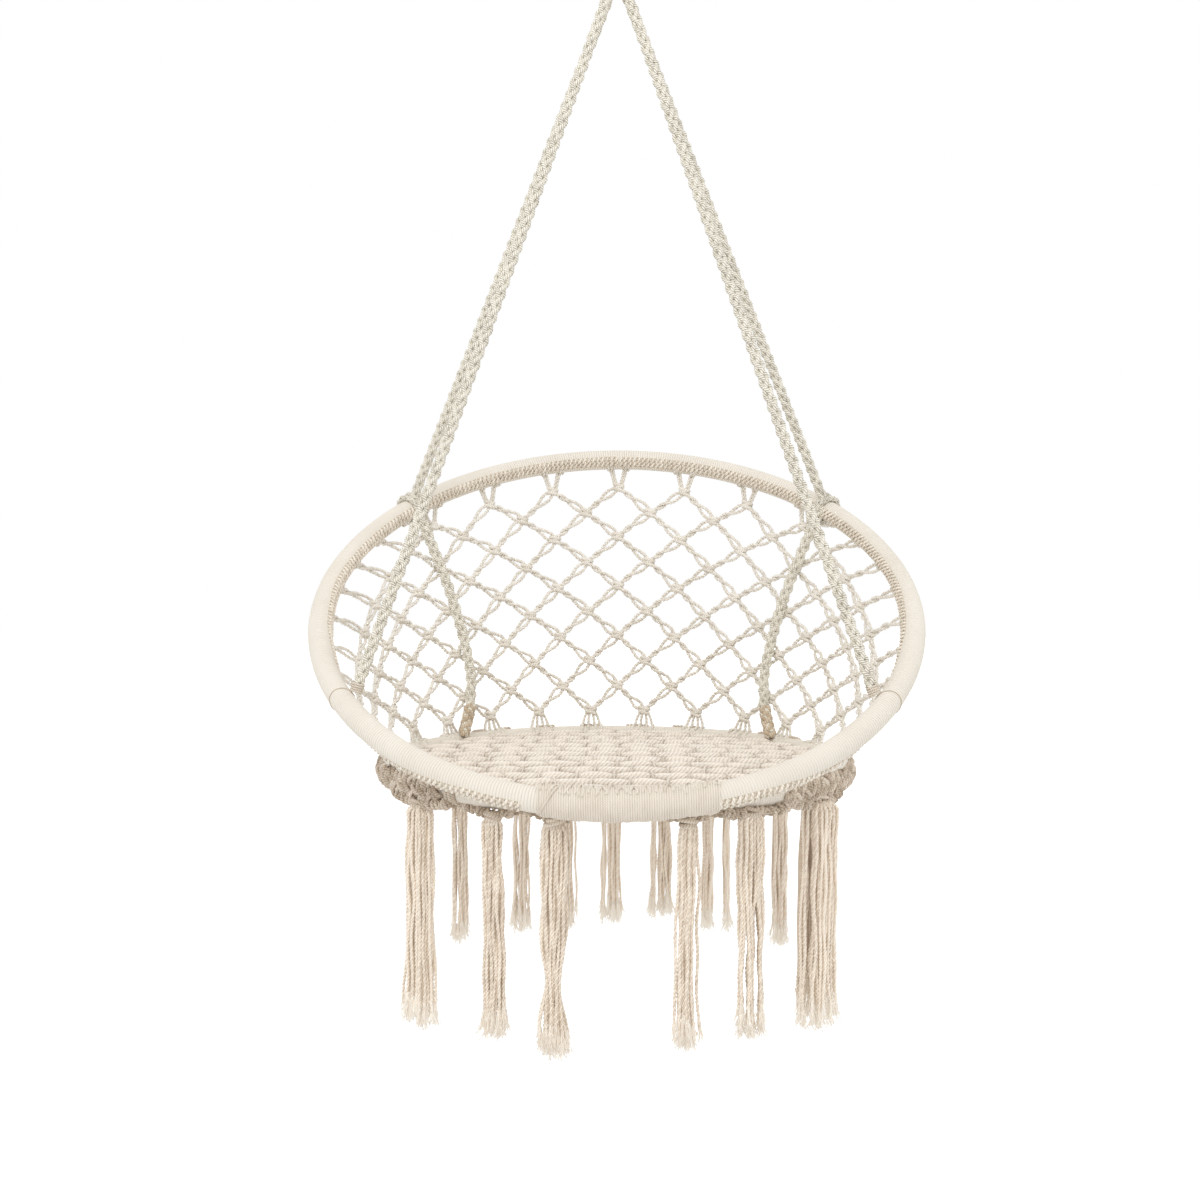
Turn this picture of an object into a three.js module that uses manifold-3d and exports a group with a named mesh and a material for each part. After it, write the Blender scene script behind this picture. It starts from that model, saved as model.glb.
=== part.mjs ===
// Hanging hammock chair in knotted cotton cord.
// A large back hoop leans back from a smaller level seat hoop. Both are bent steel tubes wrapped in cord and
// lashed together at the front. A diamond net spans the space between them, a woven panel fills the seat hoop,
// and tassels hang under it. Two front ropes hold the back hoop's sides. Two rear ropes are hitched round its
// rear and run on down the net to the seat hoop. All four meet in a bound head with a loop, a ring and a hook.
import * as THREE from "three";
import { mergeVertices } from "three/addons/utils/BufferGeometryUtils.js";
import Module from "manifold-3d";

const wasm = await Module();
wasm.setup();

// Hoops. Angles round a hoop start at its front and go round by the right.
const seat_hoop_radius = 300;
const back_hoop_radius = 397;
const back_hoop_tilt = THREE.MathUtils.degToRad(33);
const hoop_tube_radius = 11;
const hoop_tube_wall = 1.2;
const hoop_joint_gap = 1;
const wrap_cord_diameter = 3.7;
const hoop_steps = 48;

// Clearances between pieces that touch.
const seating_gap = 0.3;
const net_gap = 0.5;
const facet_allowance = 0.7;
const hoop_to_hoop_gap = 1;

// Front lashing, round both hoops. It reaches further to the right.
const lashing_left_angle = THREE.MathUtils.degToRad(16.5);
const lashing_right_angle = THREE.MathUtils.degToRad(24.5);
const lashing_cord_diameter = 2.4;

// Net between the hoops. Columns are counted from the middle of the back, rows from the back hoop down.
const net_column_pitch = THREE.MathUtils.degToRad(15.5);
const net_row_count = 10;
const net_leg_width = 9;
const net_thickness = 4.5;
const net_top_row_share = 0.28;
const net_last_row_share = 10.6;
const net_square_columns = 3;
const net_side_columns = 7.5;
const net_rim_start = THREE.MathUtils.degToRad(55);
const net_rim_pitch = THREE.MathUtils.degToRad(9.25);
const net_split_columns = [-5.25, -2.25, 0.25, 2.25, 5.25];
const net_end_column_share = 0.375;
const net_parting = 0.25;

// Seat panel.
const seat_band_count = 13;
const seat_thickness = 8;
const seat_band_height = 2.4;
const seat_crown = 4;

// Suspension ropes and where they meet the hoops.
const rope_diameter = 13;
const rope_meeting_height = 1046;
const front_rope_angle = THREE.MathUtils.degToRad(58);
const front_rope_lean = THREE.MathUtils.degToRad(15);
const rear_hitch_angle = THREE.MathUtils.degToRad(128);
const hitch_turns = 2;
const hitch_pitch = 13.8;
const hang_setback = 10;

// Head of the ropes: binding, loop, ring and hook.
const binding_length = 44;
const binding_radius = 19;
const binding_ribs = 8;
const binding_rib_height = 1.6;
const loop_leg_length = 22;
const ring_radius = 24;
const ring_wire_radius = 4;
const hook_wire_radius = 4.5;
const hook_bend_radius = 16;

// Fringe: knotted cords under the seat hoop, each with a tassel.
const fringe_cord_radius = 4;
const fringe_drop = 8;
const fringe_spread = THREE.MathUtils.degToRad(5.5);
const fringe_outset = 10;
const tassel_length = 255;
const tassel_half_width = 20.5;
const tassel_half_depth = 13.5;

const wrap_radius = hoop_tube_radius + seating_gap + wrap_cord_diameter;
const rope_radius = rope_diameter / 2;
const hitch_radius = wrap_radius + seating_gap + facet_allowance + rope_radius;
const hitch_reach = hitch_radius + rope_radius + seating_gap;
const full_turn = 2 * Math.PI;

const cord_ivory = 0xe9dfcf;
const cord_warm = 0xe4d6c1;
const steel_grey = 0xb9bcc0;

const ivory_cord = new THREE.MeshStandardMaterial({ color: cord_ivory, roughness: 0.9, metalness: 0 });
const warm_cord = new THREE.MeshStandardMaterial({ color: cord_warm, roughness: 0.92, metalness: 0 });
const steel = new THREE.MeshStandardMaterial({ color: steel_grey, roughness: 0.35, metalness: 0.9 });

const chair = new THREE.Group();

function addPiece(name, geometry, material) {
  const piece = new THREE.Mesh(geometry, material);
  piece.name = name;
  chair.add(piece);
}

// A closed surface from points and triangles, turned to face out.
function closedSurface(points, faces) {
  const spread = new THREE.Vector3();
  const volume = faces.reduce((sum, [a, b, c]) => sum + points[a].dot(spread.crossVectors(points[b], points[c])), 0);
  const outward = faces.flatMap(([a, b, c]) => (volume > 0 ? [a, b, c] : [a, c, b]));
  const geometry = new THREE.BufferGeometry().setFromPoints(points);
  geometry.setIndex(outward);
  geometry.computeVertexNormals();
  return geometry;
}

// Triangles between rings of points that follow each other, each ring starting at its index in starts.
function wallFaces(starts, sides) {
  const faces = [];
  for (let k = 1; k < starts.length; k++) {
    for (let i = 0; i < sides; i++) {
      const j = (i + 1) % sides;
      faces.push([starts[k - 1] + i, starts[k - 1] + j, starts[k] + j]);
      faces.push([starts[k - 1] + i, starts[k] + j, starts[k] + i]);
    }
  }
  return faces;
}

// Triangles from a ring of points to one point in its middle.
function fanFaces(start, sides, middle) {
  return Array.from({ length: sides }, (_, i) => [start + i, start + ((i + 1) % sides), middle]);
}

function middleOf(points) {
  return points.reduce((sum, p) => sum.add(p), new THREE.Vector3()).divideScalar(points.length);
}

function flipped(faces) {
  return faces.map(([a, b, c]) => [a, c, b]);
}

// A solid through rings of points, closed at both ends.
function loft(rings) {
  const sides = rings[0].length;
  const starts = rings.map((ring, k) => k * sides);
  const last = starts[starts.length - 1];
  const count = rings.length * sides;
  return closedSurface(
    [...rings.flat(), middleOf(rings[0]), middleOf(rings[rings.length - 1])],
    [...wallFaces(starts, sides), ...flipped(fanFaces(0, sides, count)), ...fanFaces(last, sides, count + 1)],
  );
}

// Triangles that close the end of a sleeve, between an outer ring and an inner ring that start at one angle.
function rimFaces(outer, outer_sides, inner, inner_sides) {
  const faces = [];
  let i = 0;
  let j = 0;
  while (i < outer_sides || j < inner_sides) {
    const a = outer + (i % outer_sides);
    const b = inner + (j % inner_sides);
    if (j === inner_sides || (i < outer_sides && (i + 1) / outer_sides <= (j + 1) / inner_sides)) {
      faces.push([a, outer + ((i + 1) % outer_sides), b]);
      i += 1;
    } else {
      faces.push([a, inner + ((j + 1) % inner_sides), b]);
      j += 1;
    }
  }
  return faces;
}

// A tube wall through outer and inner rings, open at both ends.
function sleeve(outer_rings, inner_rings) {
  const outer_sides = outer_rings[0].length;
  const inner_sides = inner_rings[0].length;
  const points = [...outer_rings.flat(), ...inner_rings.flat()];
  const outer_starts = outer_rings.map((ring, k) => k * outer_sides);
  const inner_starts = inner_rings.map((ring, k) => outer_rings.length * outer_sides + k * inner_sides);
  const outer_last = outer_starts[outer_starts.length - 1];
  const inner_last = inner_starts[inner_starts.length - 1];
  return closedSurface(points, [
    ...wallFaces(outer_starts, outer_sides),
    ...flipped(wallFaces(inner_starts, inner_sides)),
    ...flipped(rimFaces(outer_starts[0], outer_sides, inner_starts[0], inner_sides)),
    ...rimFaces(outer_last, outer_sides, inner_last, inner_sides),
  ]);
}

// A round tube along a curve, closed at both ends.
function tube(curve, radius, steps, sides) {
  const outline = Array.from({ length: sides }, (_, i) => {
    const a = (i * full_turn) / sides;
    return new THREE.Vector2(radius * Math.cos(a), radius * Math.sin(a));
  });
  return new THREE.ExtrudeGeometry(new THREE.Shape(outline), { steps, extrudePath: curve, bevelEnabled: false });
}

// Joins and cuts.
function toManifold(geometry) {
  const bare = new THREE.BufferGeometry().setAttribute("position", geometry.getAttribute("position"));
  if (geometry.index) bare.setIndex(geometry.index);
  const merged = mergeVertices(bare);
  return new wasm.Manifold(
    new wasm.Mesh({
      numProp: 3,
      vertProperties: new Float32Array(merged.attributes.position.array),
      triVerts: new Uint32Array(merged.index.array),
    }),
  );
}

function toGeometry(manifold) {
  const mesh = manifold.getMesh();
  const geometry = new THREE.BufferGeometry();
  geometry.setAttribute("position", new THREE.BufferAttribute(mesh.vertProperties, mesh.numProp));
  geometry.setIndex(new THREE.BufferAttribute(mesh.triVerts, 1));
  geometry.computeVertexNormals();
  return geometry;
}

// Hoops
const hoop_spacing = 2 * wrap_radius + hoop_to_hoop_gap;
const seat_hoop = { radius: seat_hoop_radius, tilt: 0, centre: new THREE.Vector3() };
const back_hoop = {
  radius: back_hoop_radius,
  tilt: back_hoop_tilt,
  centre: new THREE.Vector3(
    0,
    back_hoop_radius * Math.cos(back_hoop_tilt) - seat_hoop_radius - hoop_spacing,
    back_hoop_radius * Math.sin(back_hoop_tilt),
  ),
};

// Directions at one angle of a hoop: out from its centre, along its tube, and square to its plane.
function hoopDirections(hoop, angle) {
  const lean = (x, y) => new THREE.Vector3(x, y * Math.cos(hoop.tilt), y * Math.sin(hoop.tilt));
  return {
    out: lean(Math.sin(angle), -Math.cos(angle)),
    along: lean(Math.cos(angle), Math.sin(angle)),
    square: new THREE.Vector3(0, -Math.sin(hoop.tilt), Math.cos(hoop.tilt)),
  };
}

function hoopStation(hoop, k) {
  const half_gap = hoop_joint_gap / (2 * hoop.radius);
  return half_gap + (k * (full_turn - 2 * half_gap)) / hoop_steps;
}

function roundMiddle(hoop, angle) {
  return hoopDirections(hoop, angle).out.multiplyScalar(hoop.radius).add(hoop.centre);
}

// The middle of the tube, on the straight runs between the hoop's stations.
function hoopMiddle(hoop, angle) {
  const turned = THREE.MathUtils.euclideanModulo(angle, full_turn);
  const first = hoopStation(hoop, 0);
  const step = hoopStation(hoop, 1) - first;
  const k = THREE.MathUtils.clamp(Math.floor((turned - first) / step), 0, hoop_steps - 1);
  const share = (turned - hoopStation(hoop, k)) / step;
  return roundMiddle(hoop, hoopStation(hoop, k)).lerp(roundMiddle(hoop, hoopStation(hoop, k + 1)), share);
}

function hoopRing(hoop, angle, radius, sides) {
  const { out, square } = hoopDirections(hoop, angle);
  const middle = roundMiddle(hoop, angle);
  return Array.from({ length: sides }, (_, i) => {
    const a = (i * full_turn) / sides;
    return middle
      .clone()
      .addScaledVector(out, radius * Math.cos(a))
      .addScaledVector(square, radius * Math.sin(a));
  });
}

function hoopRings(hoop, radius, sides) {
  return Array.from({ length: hoop_steps + 1 }, (_, k) => hoopRing(hoop, hoopStation(hoop, k), radius, sides));
}

const tube_sides = 6;
const bore_sides = 6;
const wrap_sides = 12;

// A bent steel tube whose ends meet at the front with a hair's gap.
function hoopTube(hoop) {
  const bore_radius = hoop_tube_radius - hoop_tube_wall;
  return sleeve(hoopRings(hoop, hoop_tube_radius, tube_sides), hoopRings(hoop, bore_radius, bore_sides));
}

// The cord wound round the tube, as one sleeve.
function hoopWrap(hoop) {
  const inside = hoop_tube_radius + seating_gap;
  return sleeve(hoopRings(hoop, wrap_radius, wrap_sides), hoopRings(hoop, inside, tube_sides));
}

// A closed ring that follows a hoop's straight runs, for cutting what meets the hoop.
function hoopCutter(hoop, radius) {
  const angles = Array.from({ length: hoop_steps }, (_, k) => hoopStation(hoop, k));
  const rings = angles.map((angle) => hoopRing(hoop, angle, radius, wrap_sides));
  const starts = rings.map((ring, k) => k * wrap_sides);
  return toManifold(closedSurface(rings.flat(), wallFaces([...starts, 0], wrap_sides)));
}

addPiece("seat_hoop_tube", hoopTube(seat_hoop), steel);
addPiece("back_hoop_tube", hoopTube(back_hoop), steel);
addPiece("seat_hoop_wrap", hoopWrap(seat_hoop), ivory_cord);
addPiece("back_hoop_wrap", hoopWrap(back_hoop), ivory_cord);

// Front lashing: cord wound round both hoops where they lie side by side.
const lashing_sides = 16;
const lashing_bore = (wrap_radius + seating_gap) / Math.cos(Math.PI / lashing_sides) / Math.cos(lashing_right_angle);
const lashing_radius = lashing_bore + lashing_cord_diameter;

// Outlines round both hoops at one radius, from left to right.
function lashingRings(radius, overrun) {
  const slices = 12;
  const left = -seat_hoop_radius * Math.sin(lashing_left_angle) - overrun;
  const right = seat_hoop_radius * Math.sin(lashing_right_angle) + overrun;
  return Array.from({ length: slices + 1 }, (_, k) => {
    const x = left + ((right - left) * k) / slices;
    const seat_middle = hoopMiddle(seat_hoop, Math.asin(x / seat_hoop_radius));
    const back_middle = hoopMiddle(back_hoop, Math.asin(x / back_hoop_radius));
    return Array.from({ length: lashing_sides }, (_, i) => {
      const a = (i * full_turn) / lashing_sides;
      const way = new THREE.Vector3(0, Math.cos(a), Math.sin(a));
      const furthest = seat_middle.dot(way) > back_middle.dot(way) ? seat_middle : back_middle;
      return furthest.clone().addScaledVector(way, radius).setX(x);
    });
  });
}
const lashing_cutter = toManifold(loft(lashingRings(lashing_radius + seating_gap, seating_gap)));
addPiece("front_lashing", sleeve(lashingRings(lashing_radius, 0), lashingRings(lashing_bore, 0)), warm_cord);

// Net
// A place on the straight line between the hoops at one angle from the middle of the back.
// share is 0 at the back hoop's wrap and 1 at the seat hoop's.
function netPlace(turn, share) {
  const angle = Math.PI - turn;
  const top = hoopMiddle(back_hoop, angle);
  const bottom = hoopMiddle(seat_hoop, angle);
  const line = bottom.clone().sub(top);
  const length = line.length();
  line.normalize();
  const slant = (hoop) => new THREE.Vector3().crossVectors(line, hoopDirections(hoop, angle).along).length();
  const start = (wrap_radius + net_gap) / slant(back_hoop);
  const end = length - (wrap_radius + net_gap + facet_allowance) / slant(seat_hoop);
  return top.addScaledVector(line, start + share * (end - start));
}

function netNormal(turn, share) {
  const step = net_column_pitch / 20;
  const across = netPlace(turn + step, share).sub(netPlace(turn - step, share));
  const down = netPlace(turn, 1).sub(netPlace(turn, 0));
  return across.cross(down).normalize();
}

// Points of the net's drawing, as a turn and a share.
function knot(column, row) {
  const side = Math.max(0, Math.abs(column) - net_square_columns);
  const first = net_top_row_share + side;
  return { key: `knot ${column} ${row}`, turn: column * net_column_pitch, share: (row - first) / (net_last_row_share - first) };
}

function rimAt(column) {
  return { key: `rim ${column}`, turn: column * net_column_pitch, share: 0 };
}

function sideRimAt(index, side) {
  return { key: `side rim ${index} ${side}`, turn: side * (net_rim_start + index * net_rim_pitch), share: 0 };
}

function seatAt(column) {
  return { key: `seat ${column}`, turn: column * net_column_pitch, share: 1 };
}

function topRow(column) {
  return Math.max(1, 2 * Math.abs(column) + 1 - 2 * net_square_columns);
}

// Every gap of the net, as the points round it and the column that it lies on.
function netGaps() {
  const gaps = [];
  const add = (column, ...points) => gaps.push({ column, points });
  const addAtSide = (side, column, ...points) => add(side * column, ...(side > 0 ? points : points.reverse()));
  const half = 0.5;
  for (let column = -net_square_columns + half; column < net_square_columns; column++) {
    add(column, rimAt(column - half), rimAt(column), rimAt(column + half), knot(column + half, 1), knot(column, 2), knot(column - half, 1));
  }
  for (let column = -net_side_columns + half; column < net_side_columns; column += half) {
    for (let row = topRow(column) + 1; row < net_row_count; row++) {
      const between = (row + 2 * column) % 2 === 0;
      if (!between) continue;
      add(column, knot(column, row - 1), knot(column + half, row), knot(column, row + 1), knot(column - half, row));
    }
  }
  for (let column = -net_side_columns + half; column < net_side_columns; column++) {
    add(
      column,
      knot(column - half, net_row_count),
      knot(column, net_row_count - 1),
      knot(column + half, net_row_count),
      seatAt(column + half),
      seatAt(column),
      seatAt(column - half),
    );
  }
  for (const side of [-1, 1]) {
    const corner_column = net_square_columns;
    addAtSide(side, corner_column, rimAt(side * corner_column), sideRimAt(0, side), knot(side * corner_column, 1));
    const rows = net_row_count - 1;
    for (let index = 0; index < rows; index++) {
      const column = net_square_columns + index * half;
      addAtSide(
        side,
        column + half,
        sideRimAt(index, side),
        sideRimAt(index + 1, side),
        knot(side * (column + half), index + 2),
        knot(side * column, index + 1),
      );
    }
    const end = net_side_columns;
    const stays = [0, 1, 2, 3, 4, 5, 6].map((more) => seatAt(side * (end + more * net_end_column_share)));
    const corner = knot(side * end, net_row_count);
    const rim = [rows, rows + 1].map((index) => sideRimAt(index, side));
    addAtSide(side, end, corner, rim[0], stays[2]);
    addAtSide(side, end, corner, stays[2], stays[1], stays[0]);
    addAtSide(side, end, stays[2], rim[0], stays[4], stays[3]);
    addAtSide(side, end, rim[0], rim[1], stays[4]);
    addAtSide(side, end, stays[4], rim[1], stays[6], stays[5]);
  }
  return gaps;
}

// The corners of a gap once each leg round it has taken half its width.
function insetCorners(corners, normal, width) {
  const middle = corners.reduce((sum, p) => sum.add(p), new THREE.Vector3()).divideScalar(corners.length);
  const first = corners[1].clone().sub(corners[0]).projectOnPlane(normal).normalize();
  const second = new THREE.Vector3().crossVectors(normal, first);
  const flat = corners.map((p) => {
    const from = p.clone().sub(middle);
    return new THREE.Vector2(from.dot(first), from.dot(second));
  });
  const turn = Math.sign(THREE.ShapeUtils.area(flat));
  const lines = flat.map((p, i) => {
    const along = flat[(i + 1) % flat.length].clone().sub(p).normalize();
    const inward = new THREE.Vector2(-along.y, along.x).multiplyScalar(turn);
    return { start: p.clone().addScaledVector(inward, width), along };
  });
  const inner = lines.map((line, i) => {
    const before = lines[(i + lines.length - 1) % lines.length];
    const cross = before.along.cross(line.along);
    if (Math.abs(cross) < 0.05) return line.start.clone();
    const reach = line.start.clone().sub(before.start).cross(line.along) / cross;
    return before.start.clone().addScaledVector(before.along, reach);
  });
  const open = inner.every((p, i) => {
    const next = inner[(i + 1) % inner.length];
    return next.clone().sub(p).dot(lines[i].along) > width / 2;
  });
  if (!open) return null;
  return inner.map((p) => middle.clone().addScaledVector(first, p.x).addScaledVector(second, p.y));
}

function gapNormal(gap) {
  const count = gap.points.length;
  const turn = gap.points.reduce((sum, p) => sum + p.turn, 0) / count;
  const share = gap.points.reduce((sum, p) => sum + p.share, 0) / count;
  return netNormal(turn, share);
}

// The edges that only one gap of a panel has, which are the panel's own edge.
function openEdges(gaps) {
  const edges = new Map();
  for (const gap of gaps) {
    gap.points.forEach((p, i) => {
      const next = gap.points[(i + 1) % gap.points.length];
      edges.set(`${p.key} > ${next.key}`, [p, next]);
    });
  }
  return [...edges.values()].filter(([a, b]) => !edges.has(`${b.key} > ${a.key}`));
}

// How each point on a panel's edge draws back into the panel, so two panels never touch.
function edgeDrawback(open_edges) {
  const drawn = new Map();
  for (const edge of open_edges) {
    const [start, end] = edge.map((p) => netPlace(p.turn, p.share));
    const inward = netNormal(edge[0].turn, edge[0].share).cross(end.sub(start)).normalize();
    for (const p of edge) {
      if (!drawn.has(p.key)) drawn.set(p.key, new THREE.Vector3());
      drawn.get(p.key).add(inward);
    }
  }
  for (const way of drawn.values()) way.multiplyScalar((2 * net_parting) / way.lengthSq());
  return drawn;
}

// One panel of the net: its legs round the gaps, as a plate with a hole for each gap.
function netPanel(gaps) {
  const points = [];
  const faces = [];
  const shared = new Map();
  const open_edges = openEdges(gaps);
  const drawn_back = edgeDrawback(open_edges);
  const layers = (p, place) => {
    const normal = netNormal(p.turn, p.share);
    const start = points.length;
    points.push(place.clone().addScaledVector(normal, net_thickness / 2));
    points.push(place.clone().addScaledVector(normal, -net_thickness / 2));
    return [start, start + 1];
  };
  const corner = (p) => {
    if (!shared.has(p.key)) {
      const aside = drawn_back.get(p.key) || new THREE.Vector3();
      shared.set(p.key, layers(p, netPlace(p.turn, p.share).add(aside)));
    }
    return shared.get(p.key);
  };
  for (const gap of gaps) {
    const count = gap.points.length;
    const corners = gap.points.map((p) => netPlace(p.turn, p.share));
    const inner = insetCorners(corners, gapNormal(gap), net_leg_width / 2);
    const outer = gap.points.map(corner);
    if (!inner) {
      for (let i = 1; i < count - 1; i++) {
        faces.push([outer[0][0], outer[i][0], outer[i + 1][0]]);
        faces.push([outer[0][1], outer[i + 1][1], outer[i][1]]);
      }
      continue;
    }
    const hole = inner.map((place, i) => layers(gap.points[i], place));
    for (let i = 0; i < count; i++) {
      const j = (i + 1) % count;
      faces.push([outer[i][0], outer[j][0], hole[j][0]], [outer[i][0], hole[j][0], hole[i][0]]);
      faces.push([outer[i][1], hole[j][1], outer[j][1]], [outer[i][1], hole[i][1], hole[j][1]]);
      faces.push([hole[i][0], hole[j][0], hole[j][1]], [hole[i][0], hole[j][1], hole[i][1]]);
    }
  }
  for (const edge of open_edges) {
    const [a, b] = edge.map(corner);
    faces.push([a[0], b[1], b[0]], [a[0], a[1], b[1]]);
  }
  return closedSurface(points, faces);
}

// The room that a rear rope's turns round the back hoop take.
const hitch_room_sides = 24;
function hitchRoom(side) {
  const angle = side * rear_hitch_angle;
  const { along } = hoopDirections(back_hoop, angle);
  const half_length = (hitch_turns * hitch_pitch) / 2 + rope_radius + seating_gap;
  const ends = [-half_length, half_length].map((far) => hoopMiddle(back_hoop, angle).addScaledVector(along, far));
  return toManifold(tube(new THREE.LineCurve3(...ends), hitch_reach / Math.cos(Math.PI / hitch_room_sides), 1, hitch_room_sides));
}

const panel_names = ["net_front_left", "net_side_left", "net_rear_left", "net_rear_right", "net_side_right", "net_front_right"];
const all_gaps = netGaps();
panel_names.forEach((name, i) => {
  const low = i === 0 ? -Infinity : net_split_columns[i - 1];
  const high = i === net_split_columns.length ? Infinity : net_split_columns[i];
  const panel = netPanel(all_gaps.filter((gap) => gap.column > low && gap.column < high));
  const meets_hitch = i === 1 || i === 4;
  addPiece(name, meets_hitch ? toGeometry(toManifold(panel).subtract(hitchRoom(Math.sign(i - 2)))) : panel, ivory_cord);
});

// Seat panel: knotted bands that run from side to side, a little fuller in the middle.
function seatPanel() {
  const across = 10;
  const radius = seat_hoop_radius - wrap_radius - seating_gap - facet_allowance;
  const rows = 2 * seat_band_count;
  const end_share = 0.99;
  const points = [];
  const faces = [];
  const row_starts = [];
  for (let r = 0; r <= rows; r++) {
    const y = radius * end_share * ((2 * r) / rows - 1);
    const half_width = Math.sqrt(radius * radius - y * y);
    const band = (r % 2) * seat_band_height;
    row_starts.push(points.length);
    for (let c = 0; c <= across; c++) {
      const x = half_width * ((2 * c) / across - 1);
      const inside = 1 - (x * x + y * y) / (radius * radius);
      const z = seat_crown * inside;
      const edge_taper = Math.min(1, 4 * inside);
      points.push(new THREE.Vector3(x, y, z + seat_thickness / 2 + band * edge_taper));
      points.push(new THREE.Vector3(x, y, z - seat_thickness / 2));
    }
  }
  const at = (r, c, under) => row_starts[r] + 2 * c + under;
  for (let r = 0; r < rows; r++) {
    for (let c = 0; c < across; c++) {
      faces.push([at(r, c, 0), at(r, c + 1, 0), at(r + 1, c + 1, 0)], [at(r, c, 0), at(r + 1, c + 1, 0), at(r + 1, c, 0)]);
      faces.push([at(r, c, 1), at(r + 1, c + 1, 1), at(r, c + 1, 1)], [at(r, c, 1), at(r + 1, c, 1), at(r + 1, c + 1, 1)]);
    }
    faces.push([at(r, 0, 0), at(r + 1, 0, 0), at(r + 1, 0, 1)], [at(r, 0, 0), at(r + 1, 0, 1), at(r, 0, 1)]);
    faces.push([at(r, across, 0), at(r + 1, across, 1), at(r + 1, across, 0)], [at(r, across, 0), at(r, across, 1), at(r + 1, across, 1)]);
  }
  for (let c = 0; c < across; c++) {
    faces.push([at(0, c, 0), at(0, c + 1, 1), at(0, c + 1, 0)], [at(0, c, 0), at(0, c, 1), at(0, c + 1, 1)]);
    faces.push([at(rows, c, 0), at(rows, c + 1, 0), at(rows, c + 1, 1)], [at(rows, c, 0), at(rows, c + 1, 1), at(rows, c, 1)]);
  }
  return closedSurface(points, faces);
}
addPiece("seat_weave", toGeometry(toManifold(seatPanel()).subtract(lashing_cutter)), ivory_cord);

// Ropes
const rope_sides = 8;
const back_wrap_cutter = hoopCutter(back_hoop, wrap_radius + seating_gap);
const seat_wrap_cutter = hoopCutter(seat_hoop, wrap_radius + seating_gap);
const meeting = new THREE.Vector3(0, hang_setback, rope_meeting_height);
const bundle_offset = rope_radius + facet_allowance + seating_gap;

// A level cut that ends the ropes just under the binding.
const head_cutter = toManifold(
  new THREE.BoxGeometry(4 * binding_radius, 4 * binding_radius, binding_length).translate(
    0,
    meeting.y,
    meeting.z - seating_gap + binding_length / 2,
  ),
);

// A straight rope from the binding down to a hoop, with its end shaped to what it lands on.
function straightRope(side, rear, to, cutter) {
  const head = meeting.clone().add(new THREE.Vector3(side * bundle_offset, rear * bundle_offset, 0));
  const start = head.clone().lerp(to, -rope_diameter / head.distanceTo(to));
  const rope = tube(new THREE.LineCurve3(start, to), rope_radius, 4, rope_sides);
  return toGeometry(toManifold(rope).subtract(cutter).subtract(head_cutter));
}

// Places down a rear rope's lower stretch, as a turn from the middle of the back and a share of the way down.
// The rope is tied in with the net's knots, so it steps in and out a little.
const tail_turn_degrees = [51.5, 49.5, 47.8, 46.2, 45.2, 45.4, 47.5, 51];
const tail_shares = [-0.06, 0.1, 0.26, 0.43, 0.6, 0.76, 0.9, 1.02];

function tailRope(side) {
  const inset = rope_radius + net_thickness / 2 + net_gap + seating_gap + 2 * facet_allowance;
  const places = tail_turn_degrees.map((degrees, i) => {
    const turn = side * THREE.MathUtils.degToRad(degrees);
    const normal = netNormal(turn, tail_shares[i]);
    return netPlace(turn, tail_shares[i]).addScaledVector(normal, -inset);
  });
  const rope = toManifold(tube(new THREE.CatmullRomCurve3(places), rope_radius, 28, rope_sides));
  return toGeometry(rope.subtract(hitchRoom(side)).subtract(seat_wrap_cutter));
}

// Turns of rope round the back hoop, as one unbroken winding.
class HitchCurve extends THREE.Curve {
  constructor(hoop, angle, side) {
    super();
    this.hoop = hoop;
    this.angle = angle;
    this.side = side;
  }
  getPoint(t, target = new THREE.Vector3()) {
    const { out, along, square } = hoopDirections(this.hoop, this.angle);
    const a = full_turn * (hitch_turns * (t - 1 / 2) + 1 / 4);
    return target
      .copy(hoopMiddle(this.hoop, this.angle))
      .addScaledVector(along, hitch_pitch * hitch_turns * (t - 1 / 2) * this.side)
      .addScaledVector(out, -hitch_radius * Math.cos(a))
      .addScaledVector(square, hitch_radius * Math.sin(a));
  }
}

// The least gap between a winding and itself, measured on points half a turn or more apart.
function leastGapToItself(curve, turns, radius) {
  const per_turn = 48;
  const points = curve.getPoints(per_turn * turns);
  let least = Infinity;
  for (let i = 0; i < points.length; i++) {
    for (let j = i + per_turn / 2; j < points.length; j++) {
      least = Math.min(least, points[i].distanceTo(points[j]));
    }
  }
  return least - 2 * radius;
}

function hitch(side) {
  const curve = new HitchCurve(back_hoop, side * rear_hitch_angle, side);
  const least = leastGapToItself(curve, hitch_turns, rope_radius);
  console.log(`rear hitch ${side < 0 ? "left" : "right"}: least gap to itself ${least.toFixed(2)} mm`);
  return tube(curve, rope_radius, 16 * hitch_turns, 6);
}

// A front rope ends against the inner side of the back hoop, a little above straight inwards.
function frontRopeEnd(side) {
  const { out, square } = hoopDirections(back_hoop, side * front_rope_angle);
  const reach = wrap_radius + rope_radius / 2;
  return hoopMiddle(back_hoop, side * front_rope_angle)
    .addScaledVector(out, -reach * Math.cos(front_rope_lean))
    .addScaledVector(square, reach * Math.sin(front_rope_lean));
}

for (const [side, word] of [[-1, "left"], [1, "right"]]) {
  const front_end = frontRopeEnd(side);
  const rear_end = hoopMiddle(back_hoop, side * rear_hitch_angle);
  addPiece(`front_rope_${word}`, straightRope(side, -1, front_end, back_wrap_cutter), ivory_cord);
  addPiece(`rear_rope_${word}`, straightRope(side, 1, rear_end, hitchRoom(side)), ivory_cord);
  addPiece(`rear_hitch_${word}`, hitch(side), ivory_cord);
  addPiece(`rear_rope_tail_${word}`, tailRope(side), ivory_cord);
}

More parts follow.
